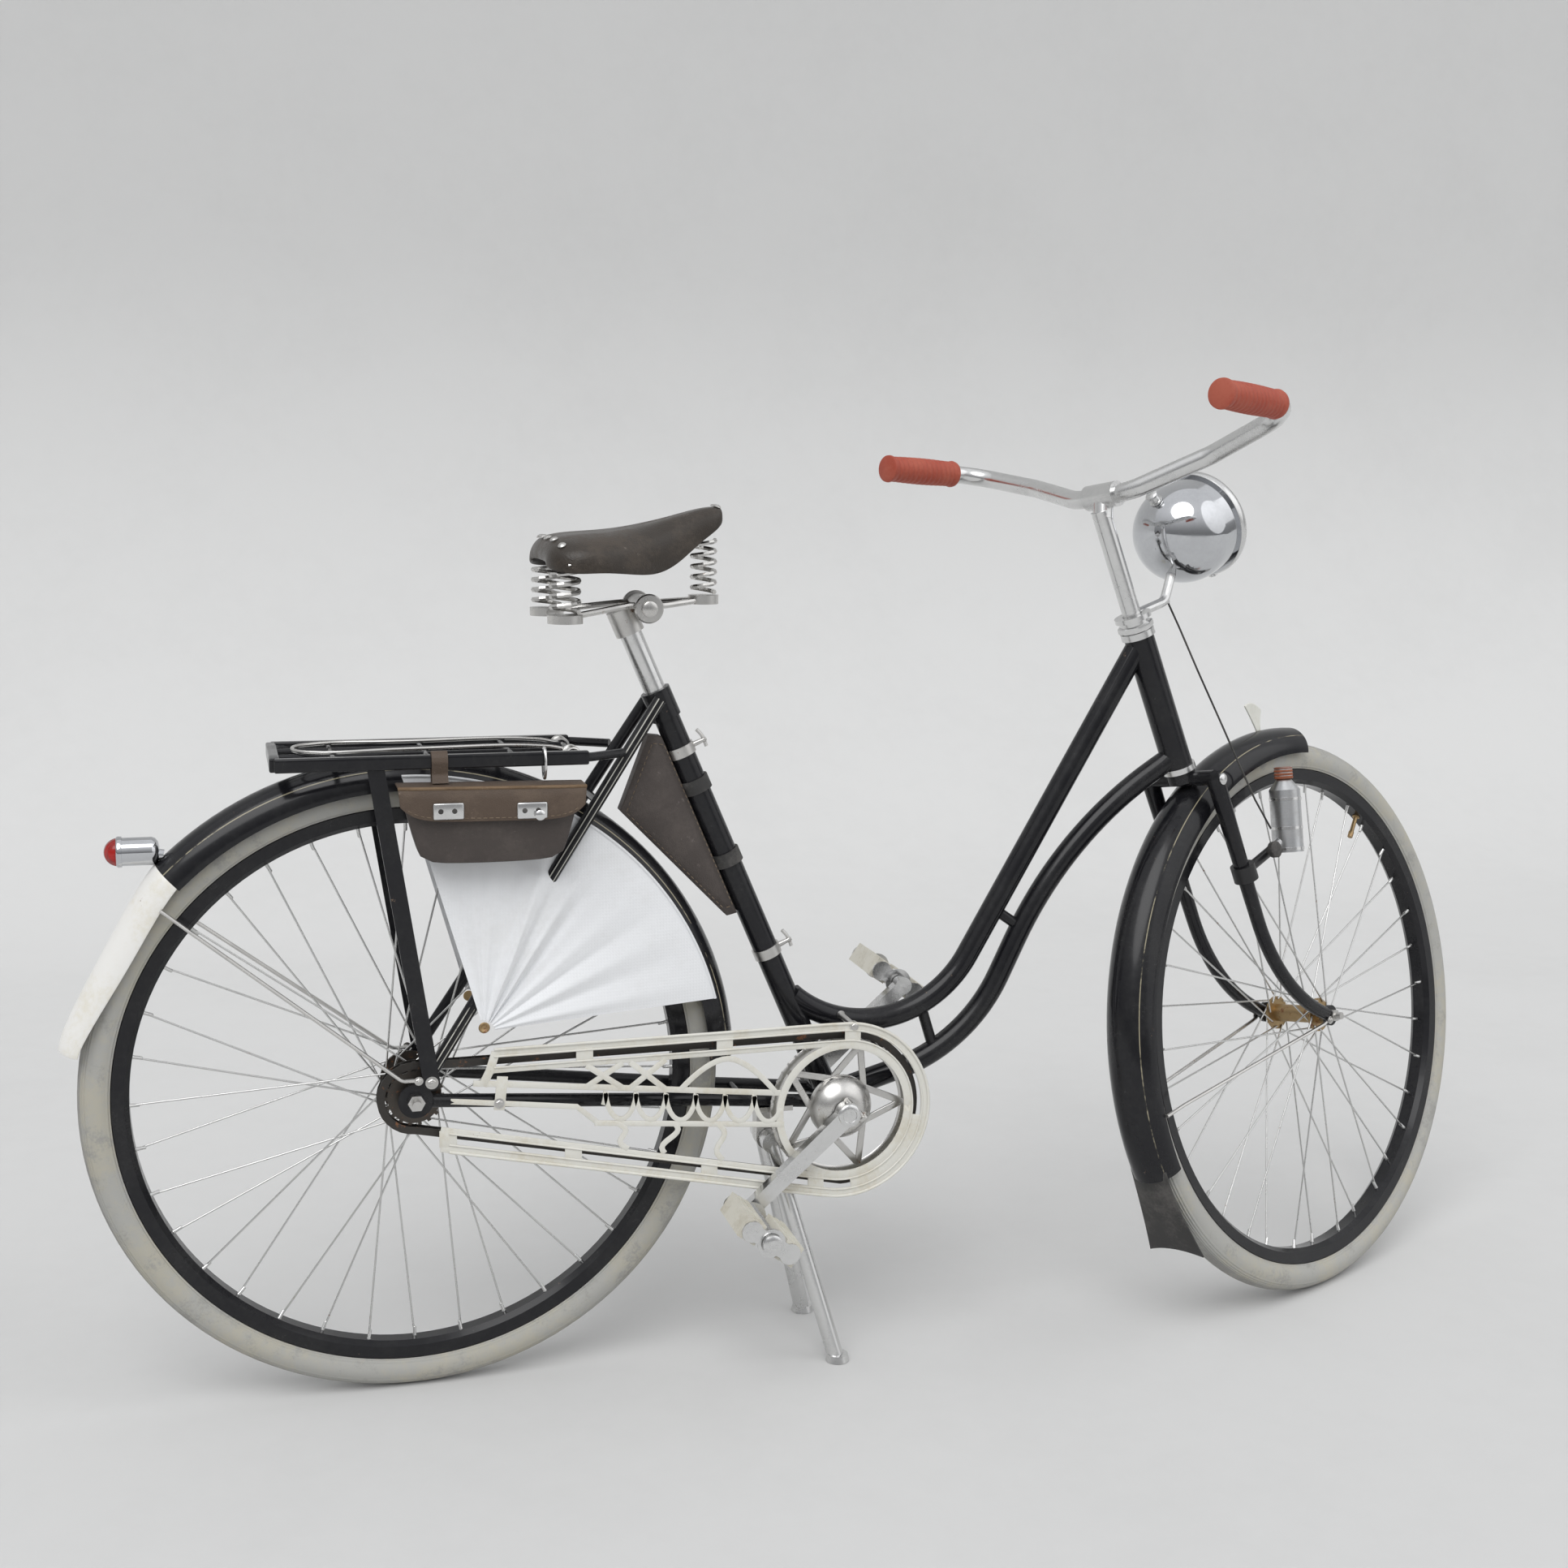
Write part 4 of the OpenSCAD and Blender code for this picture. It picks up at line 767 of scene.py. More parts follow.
# Bent tubes as (name, CAD node, route, radius, body, finish)
BENT_TUBES = [
    ("upper_frame_tube", "upper_tube", upper_route(), TUBE_R, "frame", "enamel"),
    ("lower_frame_tube", "lower_tube", lower_route(), TUBE_R, "frame", "enamel"),
    ("handlebar_tube", "handlebar", bar_route(), BAR_R, "steering", "chrome"),
]
bores = bearing_bores()
for name, node_name, route, radius, body, finish in BENT_TUBES:
    bent = tube(name, route, radius)
    modify(bent, "WELD", merge_threshold=0.00001)
    outward(bent)
    if body == "frame":
        modify(bent, "BOOLEAN", object=bores, operation="DIFFERENCE", solver="EXACT")
    finish_piece(bent, finish, body, 60)
    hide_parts(node_name)
bpy.data.objects.remove(bores, do_unlink=True)


# Skirt guards: pleated cloth fans from the mudguard's edge to an eyelet above the hub

SKIRT_APEX = Vector((0.074, 0.0668, 0.425))
SKIRT_NECK = 0.045
SKIRT_ARC_R = 0.352
SKIRT_ARC_Y = 0.0303
SKIRT_FROM = math.radians(14)
SKIRT_TO = math.radians(91)
CLOTH_T = 0.0009
HEM_R = 0.0016
FOLD_DEPTH = 0.0034
STEP_REACH = 0.74
STEP_PLACE = 0.6
STAY_LIFT = 0.0095
EYELET_Y = 0.0665
EYELET_LIFT = 0.004
EYELET = [
    (0, 0.0058), (0.0012, 0.0062), (0.0022, 0.0054), (0.0024, 0.0042), (0.0012, 0.0028), (0.0006, 0.0012),
]
# Radial folds as (place along the arc, width, height)
FOLDS = [
    (0.05, 0.03, 0.6), (0.13, 0.025, -0.5), (0.2, 0.03, 0.8), (0.27, 0.02, -0.6), (0.34, 0.03, 0.7),
    (0.45, 0.02, -1.0), (0.5, 0.018, 1.3), (0.56, 0.02, -1.2), (0.62, 0.016, 1.0), (0.7, 0.03, -0.4),
    (0.79, 0.025, 0.6), (0.86, 0.02, 0.5), (0.93, 0.03, -0.5),
]


def skirt_arc(s, side):
    a = SKIRT_FROM + (SKIRT_TO - SKIRT_FROM) * s
    return REAR_AXLE + Vector((SKIRT_ARC_R * math.cos(a), side * SKIRT_ARC_Y, SKIRT_ARC_R * math.sin(a)))


def skirt_guard(name, side):
    apex = Vector((SKIRT_APEX.x, side * SKIRT_APEX.y, SKIRT_APEX.z))

    def point(u, v):
        reach = SKIRT_NECK + (1 - SKIRT_NECK) * v
        flat = apex.lerp(skirt_arc(u, side), reach)
        folds = sum(height * math.exp(-(((u - spot) / width) ** 2)) for spot, width, height in FOLDS)
        swell = math.sin(math.pi * reach ** 0.7)
        sag = 0.3 * math.sin(3 * math.pi * u + 2 * reach)
        below_step = min(1.0, max(0.0, (STEP_REACH - reach) / 0.03))
        near_stay = math.exp(-(((u - STEP_PLACE) / 0.075) ** 2))
        lift = STAY_LIFT * near_stay * below_step * min(1.0, reach / 0.3)
        return flat + Vector((0, side * (FOLD_DEPTH * swell * (folds + sag) + lift), 0))

    obj = grid_sheet(name, 150, 36, point)
    layer = obj.data.uv_layers.active or obj.data.uv_layers.new(name="UVMap")
    for loop in obj.data.loops:
        co = obj.data.vertices[loop.vertex_index].co
        layer.data[loop.index].uv = (co.x, co.z)
    outward(obj)
    flat_area = 0.0
    steps = 60
    for k in range(steps):
        a = skirt_arc(k / steps, side) - apex
        b = skirt_arc((k + 1) / steps, side) - apex
        flat_area += a.cross(b).length / 2
    modify(obj, "SOLIDIFY", thickness=CLOTH_T, offset=0.0)
    finish_piece(obj, "cloth", "frame", 60)

    hem_points = [skirt_arc(k / 24, side) + Vector((0, side * 0.0004, 0)) for k in range(25)]
    hem = wire(name + "_hem", hem_points, HEM_R)
    finish_piece(hem, "cloth")
    return obj, hem, flat_area


for side, name in SIDES:
    sheet, hem, area = skirt_guard("skirt_" + name, side)
    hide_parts("skirt_guard_" + name)
    eyelet_at = (SKIRT_APEX.x, side * EYELET_Y, SKIRT_APEX.z + EYELET_LIFT)
    fitting("skirt_" + name + "_eyelet", EYELET, 28, along((0, side, 0), eyelet_at), "brass")


# Saddle: a moulded leather top over its springs, with rivets at the cantle and the nose

SADDLE_X = 0.146
SADDLE_HALF = 0.098
# Sections from back to nose as (x, share of the half width, top, lower edge)
SADDLE_STATIONS = [
    (0.0005, 0.52, 0.931, 0.928),
    (0.000, 0.64, 0.945, 0.924),
    (0.007, 0.82, 0.957, 0.921),
    (0.028, 0.97, 0.9625, 0.919),
    (0.058, 0.96, 0.9645, 0.921),
    (0.089, 0.82, 0.9675, 0.918),
    (0.121, 0.56, 0.9745, 0.915),
    (0.148, 0.40, 0.981, 0.925),
    (0.176, 0.29, 0.9885, 0.950),
    (0.197, 0.24, 0.9915, 0.9635),
    (0.2055, 0.15, 0.988, 0.972),
]


def saddle_station(u):
    spot = u * (len(SADDLE_STATIONS) - 1)
    low = min(int(spot), len(SADDLE_STATIONS) - 2)
    part = spot - low
    return [a + (b - a) * part for a, b in zip(SADDLE_STATIONS[low], SADDLE_STATIONS[low + 1])]


def saddle_point(u, v):
    x, half, top, low = saddle_station(u)
    a = math.pi * (1 - v)
    across = math.cos(a)
    rise = max(0.0, math.sin(a)) ** 0.55
    dip = 0.0045 * math.exp(-((across / 0.3) ** 2)) * math.sin(math.pi * u)
    return Vector((SADDLE_X + x, half * SADDLE_HALF * across, low + (top - low) * rise - dip))


saddle = grid_sheet("saddle_top", 10, 17, saddle_point)
outward(saddle)
modify(saddle, "SOLIDIFY", thickness=0.004, offset=-1.0)
modify(saddle, "SUBSURF", levels=3, render_levels=3)
finish_piece(saddle, "saddle", "frame", 70)
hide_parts("saddle_leather")


def surface_frame(u, v):
    here = saddle_point(u, v)
    du = saddle_point(min(1, u + 0.02), v) - saddle_point(max(0, u - 0.02), v)
    dv = saddle_point(u, min(1, v + 0.02)) - saddle_point(u, max(0, v - 0.02))
    normal = du.cross(dv).normalized()
    return here, normal if normal.z > -0.2 else -normal


RIVET_SINK = 0.0004
RIVET = [(0, 0.0046), (0.0008, 0.0046), (0.0021, 0.0034), (0.0027, 0.0012)]
# Rivets on the leather as (place from back to nose, place across)
RIVET_SPOTS = [
    (0.24, 0.2), (0.22, 0.32), (0.21, 0.44), (0.21, 0.56),
    (0.22, 0.68), (0.24, 0.8), (0.93, 0.4), (0.93, 0.6),
]
rivet_places = []
for u, v in RIVET_SPOTS:
    here, normal = surface_frame(u, v)
    rivet_places.append(along(normal, here - normal * RIVET_SINK))
rivets = copies("saddle_rivets", turned("rivet", RIVET, 16), rivet_places)
finish_piece(rivets, "old_chrome")

CANTLE_STEPS = 12
cantle_points = []
for k in range(CANTLE_STEPS + 1):
    v = 0.06 + 0.88 * k / CANTLE_STEPS
    cantle_points.append(saddle_point(0.25, v) - Vector((-0.004, 0, 0.0085)))
cantle = wire("saddle_cantle", cantle_points, 0.0032)
finish_piece(cantle, "old_chrome")


# Bags

STITCH_R = 0.00045
STITCH_L = 0.0042


def stitches(name, path, gap, normal):
    """A row of short thread stitches along a path of points."""
    tip, shoulder = STITCH_L / 2, STITCH_L / 2.6
    thin = STITCH_R * 0.4
    stitch = turned("stitch", [(-tip, thin), (-shoulder, STITCH_R), (shoulder, STITCH_R), (tip, thin)], 6)
    places = []
    for a, b in zip(path, path[1:]):
        run = b - a
        count = max(1, int(run.length / gap))
        for k in range(count):
            at = a + run * ((k + 0.5) / count) + Vector(normal) * 0.0002
            places.append(along(run, at))
    finish_piece(copies(name, stitch, places), "thread")


BAG_TOP = 0.696
BAG_LOW = 0.6155
BAG_SLOPE = 0.003
BAG_BACK_Y = -0.0545
BAG_FRONT_Y = -0.0825


def bag_corner(u, w):
    """Outline of the tool bag: wide at the top, narrower and round-cornered below."""
    top_x = -0.013 + 0.194 * u
    low_x = 0.008 + 0.152 * u
    x = low_x + (top_x - low_x) * w
    z = BAG_LOW + (BAG_TOP - BAG_SLOPE * u - BAG_LOW) * w
    return x, z


def bag_bulge(corner, u, v, w):
    x, z = corner
    middle = math.sin(math.pi * u) ** 0.5 * math.sin(math.pi * min(1, w * 0.9 + 0.06)) ** 0.5
    sag = 0.0015 * math.sin(math.pi * u) * (1 - w)
    y_front = BAG_FRONT_Y - 0.0045 * middle + 0.006 * (1 - middle)
    y = y_front + (BAG_BACK_Y - y_front) * v
    corner_round = 0.007 * (1 - w) ** 6 * (abs(u - 0.5) * 2) ** 10
    return Vector((x, y, z - sag + corner_round))


bag = block("tool_bag_body", bag_corner, 11, bag_bulge)
outward(bag)
round_edges(bag, 0.004, 3, 50)
finish_piece(bag, "bag", "frame", 50)
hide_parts("tool_bag")

FLAP_DROP = 0.0345
FLAP_X = -0.0155
FLAP_W = 0.199


def flap_point(u, v):
    """The flap lies over the bag's top and hangs down its front."""
    over = 0.35
    x = FLAP_X + FLAP_W * u
    edge = 1 - (abs(u - 0.5) * 2) ** 7
    if v < over:
        t = v / over
        y = BAG_BACK_Y - 0.002 + (BAG_FRONT_Y - 0.0045 - BAG_BACK_Y) * t
        return Vector((x, y, BAG_TOP + 0.0022 - BAG_SLOPE * u))
    t = (v - over) / (1 - over)
    belly = 0.0035 * math.sin(math.pi * u) ** 0.5 * math.sin(math.pi * 0.5 * t)
    y = BAG_FRONT_Y - 0.0055 - 0.0022 * math.sin(math.pi * 0.5 * min(1, t * 3)) - belly
    drop = FLAP_DROP * (0.55 + 0.45 * edge) * t
    return Vector((x + 0.004 * t * (0.5 - u), y, BAG_TOP + 0.0012 - BAG_SLOPE * u - drop))


flap = grid_sheet("tool_bag_flap", 40, 30, flap_point)
pressed(flap, 0.0026, 0.0007)
finish_piece(flap, "flap", "frame", 45)

edge_line = [flap_point(k / 30, 1.0) + Vector((0, -0.0012, 0.0035)) for k in range(1, 30)]
stitches("flap_stitches", edge_line, 0.0062, (0, -1, 0))
piping_line = [flap_point(k / 20, 0.36) + Vector((0, -0.0008, 0.0006)) for k in range(21)]
piping = wire("tool_bag_piping", piping_line, 0.0019)
finish_piece(piping, "piping")

CLASP_W = 0.032
CLASP_H = 0.0175
CLASP_PLACES = [(0.036, 0.6735), (0.124, 0.6715)]


def clasp(name, x, z):
    """A pressed plate with two slots, on a leather tab; the slots are not cut but painted as shade, two
    near-black discs on the plate.
    """
    y = flap_point((x - FLAP_X) / FLAP_W, 0.8).y - 0.0026
    deselect()
    bpy.ops.mesh.primitive_cube_add(size=1, location=(x, y, z), scale=(CLASP_W, 0.0022, CLASP_H))
    plate = added(name)
    settle(plate)
    edit_all(plate)
    bpy.ops.mesh.bevel(offset=0.0018, segments=3, affect="EDGES")
    bpy.ops.object.mode_set(mode="OBJECT")
    finish_piece(plate, "chrome")
    # Painted shade: near-black discs in the dark rubber finish stand on the plate for the shade inside its
    # two slots.
    shading_disc = turned("clasp_shade_disc", [(0, 0.0026), (0.0004, 0.0028), (0.0006, 0.0018)], 14)
    spots = [along((0, -1, 0), (x + dx, y - 0.0010, z)) for dx in (-0.0082, 0.0062)]
    slot_shading = copies(name + "_slots", shading_disc, spots)
    finish_piece(slot_shading, "dark_rubber")
    return y


for index, (clasp_x, clasp_z) in enumerate(CLASP_PLACES):
    clasp_y = clasp("bag_clasp_" + "ab"[index], clasp_x, clasp_z)
KNOB_X, KNOB_Z = CLASP_PLACES[1][0] + 0.0075, CLASP_PLACES[1][1] - 0.0045
fitting(
    "clasp_knob",
    [(0, 0.003), (0.002, 0.0032), (0.003, 0.0052), (0.0055, 0.0056), (0.0068, 0.0038)],
    20,
    along((0, -1, 0), (KNOB_X, clasp_y - 0.001, KNOB_Z)),
    "chrome",
)


def strap(name, x, width, ring):
    """A leather strap bent round a closed outline of (y, z) points."""
    count = len(ring)

    def point(u, v):
        spot = v * (count - 1)
        k = min(int(spot), count - 2)
        y0, z0 = ring[k]
        y1, z1 = ring[k + 1]
        part = spot - k
        return Vector((x + width * (u - 0.5), y0 + (y1 - y0) * part, z0 + (z1 - z0) * part))

    obj = grid_sheet(name, 3, 4 * count, point)
    outward(obj)
    modify(obj, "SOLIDIFY", thickness=0.002, offset=1.0)
    finish_piece(obj, "flap", "frame", 45)


RAIL_Y = -0.065
RACK_Z = 0.722
hanger = [(-0.0625, 0.700), (-0.0605, 0.709)]
for k in range(-1, 8):
    a = k * math.pi / 6
    hanger.append((RAIL_Y + 0.0078 * math.cos(a), RACK_Z + 0.0095 * math.sin(a)))
hanger += [(-0.0705, 0.709), (-0.0755, 0.6995)]
strap("bag_hanger", 0.03, 0.017, hanger)

FRAME_BAG = [(0.283, 0.735), (0.268, 0.737), (0.236, 0.652), (0.360, 0.5255), (0.372, 0.5285)]


def frame_bag():
    """A leather pouch laced behind the seat tube: an outline with five corners, puffed on both sides."""
    deselect()
    bpy.ops.mesh.primitive_cylinder_add(
        vertices=5, radius=1, depth=2, end_fill_type="NGON", location=(0, 0, 0)
    )
    obj = added("frame_bag_body")
    order = sorted({round(math.atan2(v.co.y, v.co.x), 4) for v in obj.data.vertices})
    for vertex in obj.data.vertices:
        k = order.index(round(math.atan2(vertex.co.y, vertex.co.x), 4))
        x, z = FRAME_BAG[k]
        vertex.co = (x, 0.012 if vertex.co.z > 0 else -0.012, z)
    edit_all(obj)
    bpy.ops.mesh.quads_convert_to_tris()
    bpy.ops.mesh.subdivide(number_cuts=7)
    bpy.ops.object.mode_set(mode="OBJECT")
    corners = [Vector((x, 0, z)) for x, z in FRAME_BAG]
    for vertex in obj.data.vertices:
        flat = Vector((vertex.co.x, 0, vertex.co.z))
        gaps = []
        for a, b in zip(corners, corners[1:] + corners[:1]):
            run = b - a
            t = max(0, min(1, (flat - a).dot(run) / run.dot(run)))
            gaps.append((flat - a - run * t).length)
        puff = 1 - math.exp(-min(gaps) / 0.017)
        vertex.co.y *= 0.75 + 0.85 * puff
    outward(obj)
    round_edges(obj, 0.003, 3, 50)
    return obj


pouch = frame_bag()
finish_piece(pouch, "bag", "frame", 55)
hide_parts("frame_bag")
SEAM_Y = 0.0128
for side, name in SIDES:
    seam = []
    centre = sum((Vector((x, side * SEAM_Y, z)) for x, z in FRAME_BAG), Vector()) / len(FRAME_BAG)
    for x, z in FRAME_BAG + FRAME_BAG[:1]:
        seam.append(Vector((x, side * SEAM_Y, z)).lerp(centre, 0.09))
    stitches("pouch_seam_" + name, seam, 0.0068, (0, side, 0))

SEAT_DIR = (SEAT_TOP - CRANK).normalized()
STRAP_HEIGHTS = (0.318, 0.411)
PEG_HEIGHTS = (0.195, 0.454)


def band(half, inner, outer):
    """Rings of a flat band round a tube."""
    return [(-half, inner), (-half, outer), (half, outer), (half, inner)]


for index, high in enumerate(STRAP_HEIGHTS):
    strap_place = along(SEAT_DIR, CRANK + SEAT_DIR * high)
    fitting("pouch_strap_" + "ab"[index], band(0.008, 0.0154, 0.0172), 32, strap_place, "dark_rubber")

TUBE_AHEAD = Vector((SEAT_DIR.z, 0, -SEAT_DIR.x))
PEG_PIN = [(0.014, 0.0034), (0.022, 0.003), (0.027, 0.0024), (0.03, 0.0036), (0.032, 0.002)]
for index, high in enumerate(PEG_HEIGHTS):
    foot = CRANK + SEAT_DIR * high
    clip_band = turned("clip_band", band(0.006, 0.0149, 0.0164), 32)
    place(clip_band, along(SEAT_DIR, foot))
    stem_pin = turned("stem_pin", PEG_PIN, 16)
    place(stem_pin, along(TUBE_AHEAD, foot))
    tip = foot + TUBE_AHEAD * 0.029
    lever_end = tip + SEAT_DIR * 0.014 - TUBE_AHEAD * 0.003
    lever = wire("lever", [tip - SEAT_DIR * 0.008, tip + SEAT_DIR * 0.004, lever_end], 0.0021)
    peg = joined("pump_peg_" + "ab"[index], [clip_band, stem_pin, lever])
    finish_piece(peg, "old_chrome")


# Grips: ribbed red rubber sleeves with a rounded end

GRIP_L = 0.112
GRIP_ON_BAR = 0.106
GRIP_RIBS = 12
RIB_PITCH = 0.0078
RIB_H = 0.0009
grip_objects = []
for side in (-1, 1):
    outer, inner = (STEER @ (Vector((x, side * y, z)) / 1000) for x, y, z in BAR_POINTS[:2])
    run = (outer - inner).normalized()
    start = outer - run * GRIP_ON_BAR
    rings = [(0, 0.0112), (0.0, 0.0158), (0.003, 0.0166), (0.006, 0.0158)]
    for k in range(GRIP_RIBS):
        foot = 0.009 + k * RIB_PITCH
        swell = 0.0147 + 0.0009 * math.sin(math.pi * k / (GRIP_RIBS - 1))
        crest = swell + RIB_H
        rings += [(foot, swell), (foot + 0.0018, crest), (foot + 0.0046, crest), (foot + 0.0062, swell)]
    rings += [(0.105, 0.0158), (0.108, 0.0168), (0.1105, 0.0164), (GRIP_L, 0.0135)]
    grip_objects.append(place(turned("grip", rings, 36), along(run, start)))
grips = joined("grip_sleeves", grip_objects)
finish_piece(grips, "grip", "steering")
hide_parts("grips")


# Wheels: spoke nipples and valves

SPOKES_A_SIDE = 18
VALVE_TURN = 0.6
VALVE_R = 0.2645
VALVE = [
    (0, 0.0016), (0.0, 0.0034), (0.008, 0.0036), (0.009, 0.0028),
    (0.03, 0.0028), (0.031, 0.005), (0.0335, 0.005),
]
NIPPLE_R = 0.2865
NIPPLE = [(0, 0.0013), (0.0008, 0.0019), (0.0095, 0.0021), (0.011, 0.003), (0.0125, 0.003)]


def rim_angles():
    step = 360 / SPOKES_A_SIDE
    for side in (-1, 1):
        for k in range(SPOKES_A_SIDE):
            lead = 1 if k % 2 == 0 else -1
            yield side, math.radians(step * (k + (0.5 if side > 0 else 0)) + lead * 3 * step)


for wheel, hub in (("rear_wheel", Matrix.Translation(REAR_AXLE)), ("front_wheel", FRONT_AXLE)):
    places = []
    for side, a in rim_angles():
        out = Vector((math.cos(a), side * 0.03, math.sin(a))).normalized()
        at = Vector((NIPPLE_R * math.cos(a), side * 0.0032, NIPPLE_R * math.sin(a)))
        places.append(hub @ along(out, at))
    nipples = copies(wheel + "_nipples", turned("nipple", NIPPLE, 8), places)
    finish_piece(nipples, "spoke", wheel)
    spoke_gap = heading(VALVE_TURN)
    fitting(wheel + "_valve", VALVE, 16, hub @ along(spoke_gap, spoke_gap * VALVE_R), "brass", wheel)


# Small fittings of the frame and the crank


def hex_bolt(name, radius, height):
    """Washer, six-sided head and a domed end, standing on z = 0."""
    wide = radius * 1.35
    washer = turned("washer", [(0, wide), (radius * 0.18, wide), (radius * 0.22, radius * 1.2)], 24)
    head = turned("head", [(radius * 0.2, radius), (height * 0.85, radius), (height, radius * 0.82)], 6)
    stud_rings = [(height * 0.9, radius * 0.52), (height * 1.3, radius * 0.5), (height * 1.4, radius * 0.36)]
    stud = turned("stud", stud_rings, 16)
    return joined(name, [washer, head, stud])


# Bolts as (name, body, radius, height, places)
BOLTS = [
    ("rack_bolts", "frame", 0.0052, 0.004, both_sides(0.017, 0.0662, 0.371)),
    ("stay_bolts", "frame", 0.0036, 0.003, both_sides(0.003, 0.0664, 0.374)),
    ("guard_clip_bolts", "frame", 0.0042, 0.003, [along((0, -1, 0), (0.09, -0.063, 0.3410))]),
    ("guard_post_bolt", "frame", 0.004, 0.0026, [along((0, -1, 0), (0.498, -0.063, 0.4005))]),
    ("front_stay_bolts", "steering", 0.0036, 0.003, both_sides(0.073, 0.0554, 0, STEER)),
]
for name, body, radius, height, places in BOLTS:
    bolts = copies(name, hex_bolt("bolt", radius, height), places)
    finish_piece(bolts, "old_chrome", body, 30)

CLAMP_NUT = [
    (0, 0.0128), (0.0, 0.0155), (0.0015, 0.0162), (0.0045, 0.0162),
    (0.006, 0.0148), (0.0062, 0.009), (0.0105, 0.0085), (0.0118, 0.006),
]
clamp_nut = turned("saddle_clamp_nut", CLAMP_NUT, 36)
nut_pair = copies("saddle_clamp_nuts", clamp_nut, both_sides(0.2628, 0.0311, 0.8792))
finish_piece(nut_pair, "old_chrome")

DOME = [
    (0, 0.0345), (0.0, 0.037), (0.002, 0.0373), (0.007, 0.0352),
    (0.0125, 0.0305), (0.017, 0.0245), (0.02, 0.0188), (0.0205, 0.0155),
]
fitting("chainring_dome", DOME, 48, along((0, -1, 0), (CRANK.x, -0.0478, CRANK.z)), "old_chrome", "crank")

STAR_POINTS = 5
STAR_IN = 0.035
STAR_OUT = 0.0755
CHAIN_LINE_Y = -0.046
RING_TEETH = 44
RING_R = 0.0782
TOOTH_ROOT_R = 0.0805


def in_plane(radius, turn):
    """A point on the chainring's plane, round the crank axle."""
    return CRANK + Vector((radius * math.cos(turn), CHAIN_LINE_Y, radius * math.sin(turn)))


def star_chainring():
    """A pressed chainring: toothed rim, five-pointed star of flat bars, hub disc."""
    deselect()
    bpy.ops.mesh.primitive_torus_add(
        major_radius=RING_R, minor_radius=0.0062, major_segments=88, minor_segments=12, location=(0, 0, 0)
    )
    rim = added("ring_rim")
    rim.scale = (1, 1, 0.26)
    settle(rim)
    place(rim, along((0, -1, 0), in_plane(0, 0)))
    step = 2 * math.pi / STAR_POINTS
    ends = []
    for k in range(STAR_POINTS):
        outer = in_plane(STAR_OUT, k * step)
        ends.append((in_plane(STAR_IN, (k - 0.5) * step), outer))
        ends.append((outer, in_plane(STAR_IN, (k + 0.5) * step)))
    bar_l = (ends[0][1] - ends[0][0]).length
    deselect()
    bpy.ops.mesh.primitive_cube_add(size=1, location=(0, 0, 0), scale=(0.0034, 0.0078, bar_l + 0.006))
    bar = added("star_bar")
    settle(bar)
    modify(bar, "BEVEL", width=0.0011, segments=3)
    bars = copies("star_bars", bar, [along(b - a, (a + b) / 2) for a, b in ends])
    tooth = turned("tooth", [(0, 0.0029), (0.0025, 0.0026), (0.0042, 0.0014)], 4)
    thin = Matrix.Diagonal((0.72, 1, 1, 1)) @ Matrix.Rotation(math.pi / 4, 4, "Z")
    spots = []
    for k in range(RING_TEETH):
        turn = 2 * math.pi * k / RING_TEETH
        out = heading(turn)
        spots.append(along(out, in_plane(TOOTH_ROOT_R, turn)) @ thin)
    teeth = copies("ring_teeth", tooth, spots)
    disc = turned("hub_disc", [(-0.003, 0.036), (-0.002, 0.0372), (0.002, 0.0372), (0.003, 0.036)], 48)
    place(disc, along((0, -1, 0), in_plane(0, 0)))
    return joined("star_chainring", [rim, bars, teeth, disc])


chainring = star_chainring()
finish_piece(chainring, "old_chrome", "crank", 35)
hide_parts("chainring")

CRANK_TURN = math.radians(-138)
CRANK_L = 0.158
COTTER_Y = 0.0765
COTTER_BACK = 0.0095
BOSS_Y = 0.0828
CAP_Y = 0.1772
COTTER = [
    (-0.0145, 0.002), (-0.0145, 0.0034), (0.013, 0.0042),
    (0.0135, 0.0068), (0.0175, 0.0068), (0.0185, 0.003),
]
CRANK_BOSS = [
    (0, 0.0082), (0.0, 0.0125), (0.0012, 0.013), (0.0022, 0.012), (0.0026, 0.0085), (0.0016, 0.0078),
]
PEDAL_CAP = [
    (0, 0.009), (0.0, 0.0112), (0.0014, 0.0116), (0.0044, 0.0112), (0.0058, 0.0088), (0.0062, 0.004),
]
for side, name in SIDES:
    reach = heading(CRANK_TURN) * (-side)
    across = Vector((-reach.z, 0, reach.x))
    outwards = Vector((0, side, 0))
    cotter_at = CRANK + outwards * COTTER_Y - reach * COTTER_BACK
    fitting("cotter_" + name, COTTER, 16, along(across, cotter_at), "old_chrome", "crank")
    boss_at = CRANK + outwards * BOSS_Y
    fitting("crank_boss_" + name, CRANK_BOSS, 32, along(outwards, boss_at), "chrome", "crank")
    cap_at = CRANK + reach * CRANK_L + outwards * CAP_Y
    fitting("pedal_cap_" + name, PEDAL_CAP, 28, along(outwards, cap_at), "chrome", "pedal_" + name)


# Fork crown studs, lamp fittings, dynamo fittings and the headset nut, all in the steering frame

CROWN_STUD = [(0, 0.0052), (0.0, 0.0068), (0.0012, 0.007), (0.0028, 0.0056), (0.0036, 0.0024)]
crown_stud = turned("crown_stud", CROWN_STUD, 24)
crown_studs = copies("fork_crown_studs", crown_stud, both_sides(0, 0.0586, 0.3668, STEER))
finish_piece(crown_studs, "chrome", "steering")

